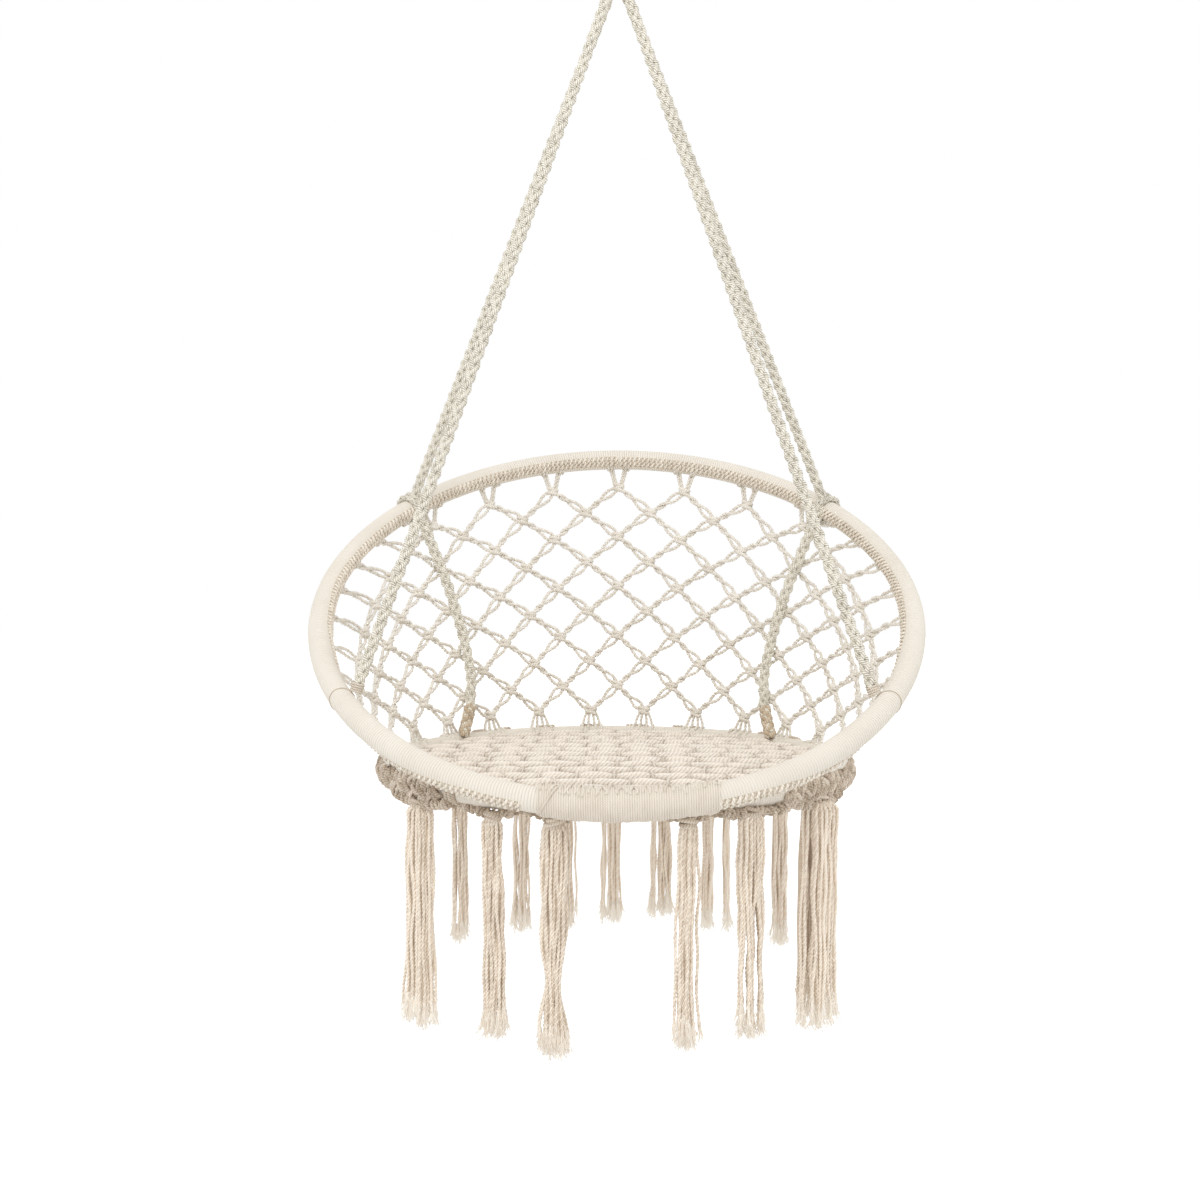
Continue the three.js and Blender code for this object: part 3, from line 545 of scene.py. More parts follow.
# Loop: plaited cotton rope whose two legs are held in the binding. Its bend passes through the ring, and the
# chair swings sideways on it.
loop_bend, loop_leg, leg_in_binding = 10.8 * mm, 22 * mm, 4 * mm
loop_base = meeting + [0, 0, binding_length]
arch = np.linspace(math.pi, 0, 25)
over_ring = loop_base + np.stack([loop_bend * np.cos(arch), 0 * arch, loop_leg + loop_bend * np.sin(arch)], 1)
feet = [loop_base + [side * loop_bend, 0, -leg_in_binding] for side in (-1, 1)]
work = CordWork()
plait(work, np.vstack([feet[0], over_ring, feet[1]]), rope_thickness / 2 - 0.3 * mm, 30 * mm)
loop = work.piece("hanging_loop_plait", rope_cotton)
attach(loop, "chair")
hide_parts("hanging_loop")

# Ring: 8 mm steel rod, brushed, bent round and welded. It hangs in the hook's lower bend, and its weld, low
# on the front side, stands a little proud.
def brushed_steel():
    finish = Finish(bpy.data.materials.new("brushed_steel"))
    place = finish.where()
    along_wire = finish.node("ShaderNodeMapping", {}, {"Vector": place, "Scale": (900, 900, 60)}, 0)
    streak = finish.noise(along_wire, 1.0, 2)
    cloud = finish.noise(place, 90, 3)
    colour = finish.mixed(cloud, tone_of(150, 152, 155), tone_of(196, 198, 200))
    sockets = {"Base Color": colour, "Metallic": 1.0, "Roughness": 0.24 + streak * 0.22}
    return finish.surface(sockets | {"Normal": finish.relief(streak, 0.08 * mm)})


steel = brushed_steel()
ring_radius, ring_wire = 24 * mm, 4 * mm
weld_angle, weld_reach, weld_rise = 0.6, 1.35 * ring_wire, 0.35 * mm
ring_centre = loop_base + [0, 0, loop_leg + ring_radius]
bpy.ops.object.select_all(action="DESELECT")
bpy.ops.mesh.primitive_torus_add(
    major_radius=ring_radius,
    minor_radius=ring_wire,
    major_segments=96,
    minor_segments=20,
    location=tuple(ring_centre),
    rotation=(0, math.pi / 2, 0),
)
ring = bpy.context.object
ring.name = "hanging_ring_welded"
bpy.ops.object.transform_apply(location=True, rotation=True, scale=True)
bpy.ops.object.mode_set(mode="EDIT")
bpy.ops.mesh.select_all(action="DESELECT")
bpy.ops.object.mode_set(mode="OBJECT")
weld_place = ring_centre - ring_radius * np.array([0, math.sin(weld_angle), math.cos(weld_angle)])
for vertex in ring.data.vertices:
    vertex.select = float(np.linalg.norm(np.array(vertex.co) - weld_place)) < weld_reach
bpy.ops.object.mode_set(mode="EDIT")
bpy.ops.transform.shrink_fatten(value=weld_rise)
bpy.ops.object.mode_set(mode="OBJECT")
bpy.ops.object.shade_smooth()
ring.data.materials.append(steel)
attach(ring, "ring")
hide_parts("hanging_ring")

# Hook: an S of 9 mm round steel bar with rounded ends. The ring hangs in its lower bend, and the ceiling eye
# goes into its upper one.
hook_wire, hook_bend, hook_play, hook_steps = 4.5 * mm, 16 * mm, 0.3 * mm, 38
hook_low = ring_centre[2] + ring_radius - ring_wire - hook_wire - hook_play + hook_bend
hook_high = hook_low + 2 * hook_bend
hook_tip, hook_sweep = math.radians(165), math.radians(285)
bpy.ops.object.select_all(action="DESELECT")
bpy.ops.mesh.primitive_circle_add(
    vertices=20,
    radius=hook_wire,
    fill_type="NGON",
    location=(hook_bend * math.cos(hook_tip), 0, hook_low + hook_bend * math.sin(hook_tip)),
    rotation=(0, -hook_tip, 0),
)
hook = bpy.context.object
hook.name = "hanging_hook_bar"
bpy.ops.object.mode_set(mode="EDIT")
bpy.ops.mesh.select_all(action="SELECT")
bpy.ops.mesh.spin(steps=hook_steps, angle=hook_sweep, center=(0, 0, hook_low), axis=(0, 1, 0))
bpy.ops.mesh.spin(steps=hook_steps, angle=-hook_sweep, center=(0, 0, hook_high), axis=(0, 1, 0))
bpy.ops.mesh.select_mode(type="FACE")
bpy.ops.mesh.select_all(action="DESELECT")
bpy.ops.mesh.select_face_by_sides(number=4, type="GREATER")
bpy.ops.mesh.bevel(offset=0.75 * hook_wire, segments=5, affect="EDGES")
bpy.ops.mesh.select_all(action="SELECT")
bpy.ops.mesh.normals_make_consistent(inside=False)
bpy.ops.object.mode_set(mode="OBJECT")
bpy.ops.object.transform_apply(location=True, rotation=True, scale=True)
bpy.ops.object.shade_smooth()
hook.data.materials.append(steel)
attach(hook, "hook")
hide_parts("hanging_hook")

# Hoops: two rings of steel tube, painted grey, that carry the load. The wound cord hides them, so the tubes
# keep their CAD shape.
def grey_paint():
    finish = Finish(bpy.data.materials.new("grey_painted_steel"))
    place = finish.where()
    speckle = finish.noise(place, 600, 3)
    colour = finish.mixed(speckle, tone_of(172, 174, 176), tone_of(192, 193, 195))
    sockets = {"Base Color": colour, "Metallic": 0.3, "Roughness": 0.42}
    return finish.surface(sockets | {"Normal": finish.relief(speckle, 0.05 * mm)})


paint = grey_paint()
for node in ("seat_hoop_tube", "back_hoop_tube"):
    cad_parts[node].data.materials.clear()
    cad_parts[node].data.materials.append(paint)

# Hoop wraps: cotton cord wound turn against turn round each tube, so the hoop reads as one smooth roll.
# A row of hitches locks the turns. It runs on the inside at the back, and passes under to the outside in
# front.
wrap_cord = 3.7 * mm


def wound_cotton(name, turns, light, deep, depth):
    finish = Finish(bpy.data.materials.new(name))
    place = finish.where()
    along, around = finish.cord_place("UVMap")
    uneven = finish.noise(place, 60, 2)
    crest = ((along * turns + around + uneven * 0.35) * math.pi).sine().size() ** 0.5
    twist = ((along * turns * 0.5 + around * 26) * math.pi).sine().size()
    fluff = finish.noise(place, 1300, 2)
    blotch = finish.noise(place, 14, 3)
    height = crest + twist * 0.18 + fluff * 0.35
    # Crests of the turns are paler than the grooves between them, which is painted shade. Blotches and fluff
    # mottle the colour.
    mottle_and_painted_shade = crest * 0.35 + blotch * 0.55 + fluff * 0.3 + 0.12
    colour = finish.mixed(mottle_and_painted_shade, tone_of(*deep), tone_of(*light))
    sockets = {"Base Color": colour, "Roughness": 0.9, "Specular IOR Level": 0.25, "Sheen Weight": 0.1}
    return finish.surface(sockets | {"Normal": finish.relief(height, depth)})


stitch_cotton = cotton(
    "hitch_cotton", light=(255, 247, 234), deep=(172, 152, 124),
    plies=2, lay_length=8 * mm, depth=0.4 * mm, contrast=0.5,
)
hitch_step = 7.4 * mm
stitch_cord, stitch_slide = 1.9 * mm, 2.2 * mm
stitch_middle, stitch_half = math.radians(13), math.radians(15)
shade_bed_cord, shade_bed_depth, shade_bed_rolls = 3.1 * mm, 2.75 * mm, (-26, -9, 9, 26)


def locking_row(name, hoop, turns, rolls, body):
    """A row of hitches along a hoop: in each, two short stitches lean together over a groove, where cords
    drawn dark lie low as painted shade.
    """
    n = len(turns)
    work = CordWork()
    share = np.linspace(-1, 1, 7)
    lift = (1 - share**2) ** 0.5
    for half in (1, -1):
        away = half * stitch_middle + share * stitch_half
        uneven = chance.uniform(0.7, 1.3, n)[:, None]
        slide = uneven * stitch_slide * share / hoop["radius"]
        far = wrap_radius - stitch_cord * 0.8
        far = far + lift * stitch_cord * (1.5 + chance.uniform(-0.2, 0.2, n)[:, None])
        paths = round_hoop(hoop, turns[:, None] + slide, rolls[:, None] + away, far)
        work.lay(paths, stitch_cord, sides=5, shade=0.75 + chance.uniform(-0.25, 0.25, n))
    order = np.argsort(turns)
    # Cords drawn dark lie low under each row: painted shade in the groove under the stitches.
    for part in np.split(order, np.flatnonzero(np.diff(turns[order]) > 0.1) + 1):
        for away in shade_bed_rolls:
            line = round_hoop(hoop, turns[part], rolls[part] + math.radians(away), wrap_radius - shade_bed_depth)
            work.lay(line, shade_bed_cord, sides=8, shade=-0.1)
    row = work.piece(name, stitch_cotton)
    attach(row, body)


for name, hoop, body in (("back_hoop_wrap", back_hoop, "chair"), ("seat_hoop_wrap", seat_hoop, "seat")):
    turns = round(2 * math.pi * hoop["radius"] / wrap_cord)
    bpy.ops.object.select_all(action="DESELECT")
    bpy.ops.mesh.primitive_torus_add(
        major_radius=hoop["radius"],
        minor_radius=wrap_radius,
        major_segments=288,
        minor_segments=24,
        location=tuple(hoop["centre"]),
        rotation=(hoop["lean"], 0, 0),
    )
    wrap = bpy.context.object
    wrap.name = f"{name}_wound"
    bpy.ops.object.transform_apply(location=True, rotation=True, scale=True)
    bpy.ops.object.shade_smooth()
    wrap_cotton = wound_cotton(
        f"{name}_cotton", turns, light=(246, 239, 227), deep=(218, 207, 190), depth=0.7 * mm
    )
    wrap.data.materials.append(wrap_cotton)
    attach(wrap, body)
    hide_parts(name)

side_turns = np.radians([15, 25, 35, 45, 58, 80, 95, 110, 135, 180])
side_rolls = np.radians([-8, -10, -40, -75, -120, -188, -200, -194, -192, -197])
places = np.arange(math.radians(15), math.pi, hitch_step / back_hoop["radius"])
back_turns = np.concatenate([-places, places])
back_rolls = np.concatenate([np.interp(places, side_turns, side_rolls)] * 2)
locking_row("back_hoop_hitches", back_hoop, back_turns, back_rolls, "chair")
places = np.arange(math.radians(20), math.radians(340), hitch_step / seat_hoop["radius"])
locking_row("seat_hoop_hitches", seat_hoop, places, np.full(len(places), math.radians(-100)), "seat")

# Front lashing: cord wound round both hoops where they lie side by side. It is what joins and hinges them.
# It reaches further to the right, its turns thin out at both ends, a crossing turn locks it at the left,
# and small arches of cord lie over its upper side.
lashing_cord, lashing_pitch, lashing_far = 1.55 * mm, 2.75 * mm, 17.3 * mm
lashing_left, lashing_right = -84.5 * mm, 123.5 * mm
steps_round = 28
crossing_left, crossing_width, crossing_cord, crossing_lift = -84 * mm, 24 * mm, 1.5 * mm, 2.2 * mm
arch_left, arch_right, arch_cord, arch_lift, arch_roll = -78 * mm, 118 * mm, 1.4 * mm, 1.6 * mm, 1.98


def round_both_hoops(x, angle, far):
    """A place on the outline round the two hoops, at a distance across and an angle from the rear upwards."""
    seat_side = hoop_middle(seat_hoop, math.asin(x / seat_hoop["radius"]))
    back_side = hoop_middle(back_hoop, math.asin(x / back_hoop["radius"]))
    way = np.array([0, math.cos(angle), math.sin(angle)])
    apart = seat_side - back_side
    pull = min(1.0, max(0.0, 0.5 + 3 * (apart @ way) / np.linalg.norm(apart)))
    return back_side + apart * pull + way * far


work = CordWork()
line = []
turn_count = int((lashing_right - lashing_left) / lashing_pitch)
for j in range(turn_count):
    swell = 0.3 * mm * math.sin(0.9 * j) + chance.uniform(-0.25, 0.25) * mm
    thinning = 1.2 * mm * math.exp(-min(j, turn_count - 1 - j) / 1.5)
    for i in range(steps_round):
        x = lashing_left + lashing_pitch * (j + i / steps_round)
        angle = 2 * math.pi * i / steps_round
        line.append(round_both_hoops(x, angle, lashing_far + 0.04 * x**2 + swell - thinning))
work.lay(np.array(line), lashing_cord, sides=6, shade=0.8)
crossing = [
    round_both_hoops(crossing_left + crossing_width * t, 3.9 - 2.2 * t, lashing_far + crossing_lift)
    for t in np.linspace(0, 1, 16)
]
work.lay(np.array(crossing), crossing_cord, sides=6, shade=0.3)
x = arch_left
while x < arch_right:
    wide, tall = chance.uniform(3.0, 6.2) * mm, chance.uniform(0.2, 0.62)
    bend = math.pi * np.linspace(chance.uniform(-0.45, -0.1), chance.uniform(1.1, 1.4), 13)
    arch = [
        round_both_hoops(x - wide * math.cos(b), arch_roll - tall * math.sin(b), lashing_far + arch_lift)
        for b in bend
    ]
    work.lay(np.array(arch), arch_cord, sides=6, shade=chance.uniform(0.5, 1.0))
    x += chance.uniform(7.5, 15) * mm
lashing = work.piece("front_lashing_turns", binding_cotton)
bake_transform(lashing)
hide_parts("front_lashing")

# Net: pairs of cotton cord, knotted where they cross. Each pair opens into an eye beside one knot and then
# twists round itself. The top row is tied to the back hoop and the bottom row straddles the seat hoop.
net_cotton = cotton(
    "net_cotton", light=(255, 250, 241), deep=(196, 184, 163), plies=2, lay_length=6 * mm, depth=0.3 * mm
)
column_pitch = math.radians(15.5)
first_row_at, rows_down, last_row = 0.28, 10.6, 10
square_columns, side_columns, stay_pitch = 3, 7.5, 0.375
net_cord, net_twist, pair_apart = 2.95 * mm, 11 * mm, 2.4 * mm
knot_wide, knot_deep = 7.3, 3.9  # half widths in millimetres
tie_dip, tie_rise = 2.4 * mm, 1.0 * mm
rim_ties, knot_ties, loose_ties = (-15.4, -11.6, 11.6, 15.4), (-15, -5.5, 5.5, 15), (-2.1, 2.1)
over_rim, over_seat_hoop = -0.03, 1.03


def knot_spot(column, row):
    """A knot's turn from the middle of the back, and its share of the way down."""
    first = first_row_at + max(0, abs(column) - square_columns)
    return column * column_pitch, (row - first) / (rows_down - first)


def side_rim_spot(side, index):
    return side * math.radians(55 + 9.25 * index), over_rim


def seat_spot(column):
    return column * column_pitch, 1.02


def top_row(column):
    """The row in which a column starts: further round to the sides the net has lost its upper rows."""
    return max(1, 2 * abs(column) + 1 - 2 * square_columns)


half_columns = [c / 2 for c in range(-15, 16)]
knots = [
    (c, r)
    for c in half_columns
    for r in range(1, last_row + 1)
    if r >= top_row(c) and (r + round(2 * c)) % 2 == 1
]
knot_set = set(knots)
legs, rim_ends = [], []
for c, r in knots:
    for way in (-0.5, 0.5):
        if (c + way, r + 1) in knot_set:
            legs.append((knot_spot(c, r), knot_spot(c + way, r + 1), way < 0))
for side in (-1, 1):
    for index in range(10):
        inner = knot_spot(side * (square_columns + index / 2), index + 1)
        legs.append((side_rim_spot(side, index), inner, side > 0))
        rim_ends.append(side_rim_spot(side, index)[0])
    # At the front corner, where the hoops come together, stays run from the rim to the seat hoop.
    stays = [seat_spot(side * (side_columns + stay_pitch * k)) for k in range(7)]
    for upper_end, lower_end in ((9, 2), (9, 4), (10, 4), (10, 6)):
        legs.append((side_rim_spot(side, upper_end), stays[lower_end], side > 0))
    legs.append((knot_spot(side * side_columns, last_row), stays[2], side < 0))
    rim_ends.append(side_rim_spot(side, 10)[0])
panel_edges = np.array([-5.25, -2.25, 0.25, 2.25, 5.25]) * column_pitch
# Each panel of the net, with its least distance from the line on which the hoops fold, in metres.
panels = [("net_front_left", 0.12), ("net_side_left", 0.36), ("net_rear_left", 0.5)]
panels += [("net_rear_right", 0.5), ("net_side_right", 0.36), ("net_front_right", 0.12)]


def panel_of(turns):
    return np.searchsorted(panel_edges, turns)


def leg_pairs(starts, ends, down_left):
    """The two cords of each leg, from place to place on the net."""
    share = np.linspace(0, 1, 34)
    turn = starts[:, 0, None] + share * (ends[:, 0] - starts[:, 0])[:, None]
    down = starts[:, 1, None] + share * (ends[:, 1] - starts[:, 1])[:, None]
    line = net_place(turn, down)
    outward = net_outward(turn, down)
    ahead = unit(np.gradient(line, axis=1))
    sideways = unit(np.cross(outward, ahead))
    eye_at = np.where(down_left, 0.24, 0.76)[:, None] + chance.uniform(-0.04, 0.04, (len(starts), 1))
    eye_width = chance.uniform(1.8, 3.4, (len(starts), 1)) * mm
    apart = pair_apart + eye_width * np.exp(-(((share - eye_at) / 0.15) ** 2))
    progress = np.where(down_left[:, None], (share - 0.42) / 0.55, (0.58 - share) / 0.55)
    twist = 2 * math.pi * np.clip(progress, 0, 1)
    sway = (chance.uniform(-1.2, 1.2, (len(starts), 1)) * mm) * np.sin(math.pi * share)
    pairs = []
    for hand in (1, -1):
        aside = hand * apart * np.cos(twist) + sway
        proud = hand * pair_apart * np.sin(twist)
        pairs.append(line + aside[..., None] * sideways + proud[..., None] * outward)
    return np.concatenate(pairs)


def knot_turns(turns, downs):
    """Three turns of cord that make each knot, one under another and tilted this way and that."""
    middle, outward = net_place(turns, downs), net_outward(turns, downs)
    down = unit(net_place(turns, downs + 0.02) - net_place(turns, downs - 0.02))
    level = np.cross(down, outward)
    angle = np.linspace(0, 2 * math.pi, 12, endpoint=False)
    loops = []
    for drop, tilt in ((-3.1, 0.3), (0.2, -0.32), (3.3, 0.28)):
        lean = tilt + chance.uniform(-0.08, 0.08, len(turns))[:, None]
        long_way = np.cos(lean) * level + np.sin(lean) * down
        wide = (knot_wide + chance.uniform(-0.5, 0.5, len(turns))[:, None, None]) * mm
        loop = middle[:, None] + (drop * mm) * down[:, None]
        loop = loop + wide * np.cos(angle)[:, None] * long_way[:, None]
        loops.append(loop + knot_deep * mm * np.sin(angle)[:, None] * outward[:, None])
    return np.concatenate(loops)


leg_starts = np.array([leg[0] for leg in legs])
leg_ends = np.array([leg[1] for leg in legs])
leg_left = np.array([leg[2] for leg in legs])
leg_panel = panel_of((leg_starts[:, 0] + leg_ends[:, 0]) / 2)
knot_spots = np.array([knot_spot(c, r) for c, r in knots])
knot_panel = panel_of(knot_spots[:, 0])
for number, (name, nearest) in enumerate(panels):
    work = CordWork()
    mine = leg_panel == number
    pairs = leg_pairs(leg_starts[mine], leg_ends[mine], leg_left[mine])
    work.twist(pairs, net_cord, net_twist, shade=0.8 + chance.uniform(-0.2, 0.2, len(pairs)))
    mine = knot_panel == number
    loops = knot_turns(knot_spots[mine, 0], knot_spots[mine, 1])
    work.lay(loops, net_cord, sides=5, shade=0.62 + chance.uniform(-0.3, 0.2, len(loops)), joined=True)
    ties = []
    for c, r in knots:
        turn, down = knot_spot(c, r)
        if panel_of(turn) != number:
            continue
        # The top row goes up to the rim as two cords on either side of each knot.
        if r == 1 and abs(c) <= square_columns:
            for end in (-1, 1):
                for beside in (-1, 1):
                    aside = (end * 13.5 + beside * 2.3) * mm / back_hoop["radius"]
                    inner = (end * 3 + beside * 1.5) * mm / back_hoop["radius"]
                    bent = turn + inner + (aside - inner) * 0.45
                    ties.append([(turn + inner, down), (bent, down * 0.55), (turn + aside, over_rim)])
        # The bottom row spreads to four cords that straddle the seat hoop.
        if r == last_row:
            for end in knot_ties:
                aside = end * mm / seat_hoop["radius"]
                inner = aside * 0.25
                bent = turn + inner + (aside - inner) * 0.8
                low = down + (1 - down) * 0.5
                ties.append([(turn + inner, down), (bent, low), (turn + aside, over_seat_hoop)])
    if ties:
        spots = np.array(ties)
        share = np.linspace(0, 1, 17)[:, None]
        a, b, c = (spots[:, None, i] for i in range(3))
        bent = a * (1 - share) ** 2 + 2 * b * share * (1 - share) + c * share**2
        paths = net_place(bent[..., 0], bent[..., 1])
        work.twist(paths, 0.9 * net_cord, net_twist, shade=0.7 + chance.uniform(-0.15, 0.15, len(ties)))
    panel = work.piece(f"{name}_knotted", net_cotton)
    fold_with(panel)
    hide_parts(name)

# Net ties: where the net meets a hoop its cotton cords lie over the hoop's side and go in between the turns
# of the winding, which hold them. A knot is held by four cords and a leg that ends at a hoop by two.
def hoop_ties(name, hoop, turns, offsets, rolls, body):
    share = np.linspace(0, 1, 14)
    dip = tie_dip * share**4
    work = CordWork()
    paths = []
    for turn in turns:
        top, bottom = hoop_middle(back_hoop, turn), hoop_middle(seat_hoop, turn)
        away = (bottom - top) if hoop is back_hoop else (top - bottom)
        facing = math.atan2(away @ hoop_square(hoop), away @ hoop_out(hoop, turn))
        for offset in offsets:
            slide = (offset * (1 + 0.06 * share) + chance.uniform(-0.5, 0.5)) * mm / hoop["radius"]
            roll = facing + np.radians(rolls[0] + (rolls[1] - rolls[0]) * share)
            paths.append(round_hoop(hoop, turn + slide, roll, wrap_radius + tie_rise - dip))
    work.twist(np.array(paths), 0.9 * net_cord, net_twist, shade=0.65 + chance.uniform(-0.2, 0.2, len(paths)))
    ties = work.piece(name, net_cotton)
    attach(ties, body)


rear_columns = np.arange(-square_columns, square_columns + 1) * column_pitch
seat_columns = np.array([c for c in half_columns if (2 * c) % 2]) * column_pitch
stay_columns = [side * (side_columns + stay_pitch * k) for side in (-1, 1) for k in (2, 4, 6)]
front_columns = np.array(stay_columns) * column_pitch
rear_rim, side_rim = math.pi - rear_columns, math.pi - np.array(rim_ends)
hoop_ties("back_hoop_net_ties", back_hoop, rear_rim, rim_ties, (10, -50), "chair")
hoop_ties("back_hoop_side_ties", back_hoop, side_rim, loose_ties, (10, -45), "chair")
hoop_ties("seat_hoop_net_ties", seat_hoop, math.pi - seat_columns, knot_ties, (-10, 50), "seat")
hoop_ties("seat_hoop_front_ties", seat_hoop, math.pi - front_columns, loose_ties, (-10, 50), "seat")

# Seat: bands of thick cotton cord that run from side to side, with two cords low in the groove between
# bands that are drawn dark: painted shade in the grooves. Each band's outer cords are drawn darker as well,
# most where the band is pinched: painted shade at the grooves. A tie draws each band together every 46 mm,
# and beside it the groove opens. The ties of neighbouring bands don't line up, so the seat reads as rows of
# long low bricks.
seat_cotton = cotton(
    "seat_cotton", light=(255, 246, 234), deep=(152, 128, 100),
    plies=3, lay_length=16 * mm, depth=0.8 * mm, contrast=0.4,
)
seat_radius, seat_crown, bands_reach = 285.5 * mm, 4 * mm, 284 * mm
band_count, cords_in_band, band_crown = 13, 5, 9 * mm
band_width = 2 * bands_reach / band_count
band_cord, groove_cord, tie_cord = 4.5 * mm, 3.8 * mm, 1.7 * mm
groove_aside, groove_depth = 3.9 * mm, 3.2 * mm
tie_pitch, pinch_reach = 46 * mm, 8 * mm
tie_half_width, tie_half_depth, tie_height = 0.27 * band_width, 7 * mm, 5 * mm
work = CordWork()


def seat_height(x, y):
    return seat_crown * (1 - (x**2 + y**2) / seat_radius**2)


def across_seat(y, spacing):
    half = math.sqrt(seat_radius**2 - y**2)
    return np.linspace(-half, half, max(6, round(2 * half / spacing)))


for band in range(band_count):
    y_band = -bands_reach + band_width * (band + 0.5)
    shift = (0.5 * (band % 2) + chance.uniform(-0.12, 0.12)) * tie_pitch
    stations = np.arange(-7, 7) * tie_pitch + shift
    for cord in range(cords_in_band):
        lane = 2 * cord / (cords_in_band - 1) - 1
        y_lane = y_band + lane * 0.4 * band_width
        if abs(y_lane) > seat_radius - 1 * mm:
            continue
        x = across_seat(y_lane, 4 * mm)
        pinch = np.exp(-(((x[:, None] - stations) / pinch_reach) ** 2)).max(1)
        wander = 0.7 * mm * np.sin(x / (15 * mm) + cord * 1.7 + band)
        y = y_band + lane * band_width * 0.38 * (1 - 0.4 * pinch) + wander
        rise = band_crown * (1 - lane**2) * (1 - 0.2 * pinch) + 0.7 * mm * np.sin(x / (9 * mm) + cord * 2.1)
        path = seat_centre + np.stack([x, y, seat_height(x, y) + rise - 1.2 * mm], 1)
        # Outer cords are darker, and more so at a pinch: painted shade at the grooves.
        shade = 1.05 - 1.2 * lane**2 - 0.9 * pinch * abs(lane) + chance.uniform(-0.12, 0.12)
        work.lay(path, band_cord, sides=7, shade=shade[None])
    kept = stations[np.hypot(stations, y_band) < seat_radius - 14 * mm]
    angle = np.linspace(0, 2 * math.pi, 14, endpoint=False)
    loops = np.zeros((len(kept), 14, 3))
    loops[..., 0] = kept[:, None] + chance.uniform(-3, 3, (len(kept), 1)) * mm * np.cos(angle)
    loops[..., 1] = y_band + tie_half_width * np.cos(angle)
    loops[..., 2] = seat_height(kept, y_band)[:, None] + tie_height + tie_half_depth * np.sin(angle)
    tones = 0.9 + chance.uniform(-0.2, 0.1, len(kept))
    work.lay(seat_centre + loops, tie_cord, sides=5, shade=tones, joined=True)
    if band:
        # The groove cords are drawn dark: painted shade low in the grooves.
        x = across_seat(y_band - band_width / 2, 8 * mm)
        for beside in (-1, 1):
            y = y_band - band_width / 2 + beside * groove_aside + 0.5 * mm * np.sin(x / (12 * mm))
            path = seat_centre + np.stack([x, y, seat_height(x, y) - groove_depth], 1)
            work.lay(path, groove_cord, sides=6, shade=-0.4)
seat = work.piece("seat_weave_bands", seat_cotton)
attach(seat, "seat")
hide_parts("seat_weave")

# Seat hoop side turns: on both sides of the front the seat hoop is wound once more, in uneven turns of the
# fringe's own thick cord, with a knot over every other turn. They carry the knotted cords below. Their
# cotton's deep colour is dark and they get low tones: painted shade under the seat hoop.
fringe_cotton = cotton(
    "fringe_cotton", light=(255, 243, 227), deep=(140, 114, 84),
    plies=2, lay_length=6 * mm, depth=0.4 * mm, contrast=0.45,
)
thick_cord, thick_pitch, knot_cord = 3.1 * mm, 6.3 * mm, 2.7 * mm
thick_from, thick_to = math.radians(42), math.radians(97)
work = CordWork()
angle = np.linspace(0, 2 * math.pi, 22, endpoint=False)
share = np.linspace(-1, 1, 9)
for side in (-1, 1):
    turns = np.arange(thick_from, thick_to, thick_pitch / seat_hoop["radius"])
    n = len(turns)
    lean = chance.uniform(-2.6, 2.6, (n, 1)) * mm / seat_hoop["radius"]
    turn = side * (turns[:, None] + lean * np.sin(angle + chance.uniform(0, 6.3, (n, 1))))
    far = wrap_radius + chance.uniform(0.4, 2.4, (n, 1)) * mm
    far = far + 0.5 * mm * np.sin(2 * angle + chance.uniform(0, 6.3, (n, 1)))
    tones = 0.15 + chance.uniform(-0.5, 0.35, n)
    work.lay(round_hoop(seat_hoop, turn, angle, far), thick_cord, sides=6, shade=tones, joined=True)
    knotted = turns[::2, None]
    for middle_roll, reach in ((-8, 5.5), (-42, 6.0), (-78, 5.5), (30, 5.0)):
        slide = side * (knotted + chance.uniform(-3, 3, knotted.shape) * mm / seat_hoop["radius"])
        slide = slide + share * reach * mm / seat_hoop["radius"]
        roll = middle_roll + chance.uniform(-9, 9, knotted.shape)
        roll = np.radians(roll + chance.choice([-16, 16], knotted.shape) * share)
        far = wrap_radius + (0.5 + 4.6 * np.sqrt(1 - share**2)) * mm
        tones = 0.25 + chance.uniform(-0.5, 0.4, len(knotted))
        work.lay(round_hoop(seat_hoop, slide, roll, far), knot_cord, sides=6, shade=tones)
turns_piece = work.piece("seat_hoop_side_turns", fringe_cotton)
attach(turns_piece, "seat")

# Fringe: under the seat hoop hang plaited cotton cords, knotted where they meet, and from each knot a tassel
# of two-ply cords that are frayed at their feet. Six tassels hang at the front and seven at the rear.
front_tassels = 6
hang_radius = 310 * mm
loop_cord, grip_cord, grip_pitch, loop_pitch = 2.1 * mm, 2.6 * mm, 5.6, 7 * mm
tassel_cord, tassel_twist, shoulder_length = 2.4 * mm, 10 * mm, 11 * mm
strands, strand_width = 16, 0.53 * mm
golden_angle = 2.39996

# The parts of a tassel that divides on its way down: each has its middle, in half widths to the right, and
# the share to which its cords draw together.
one_part = ()
two_parts = ((-0.7, 0.5), (0.12, 0.85))
wide_parts = ((-0.72, 0.7), (0.05, 0.95))
split_parts = ((-0.6, 0.55), (0.75, 0.35))
three_parts = ((-0.7, 0.3), (0.0, 0.4), (0.8, 0.3))
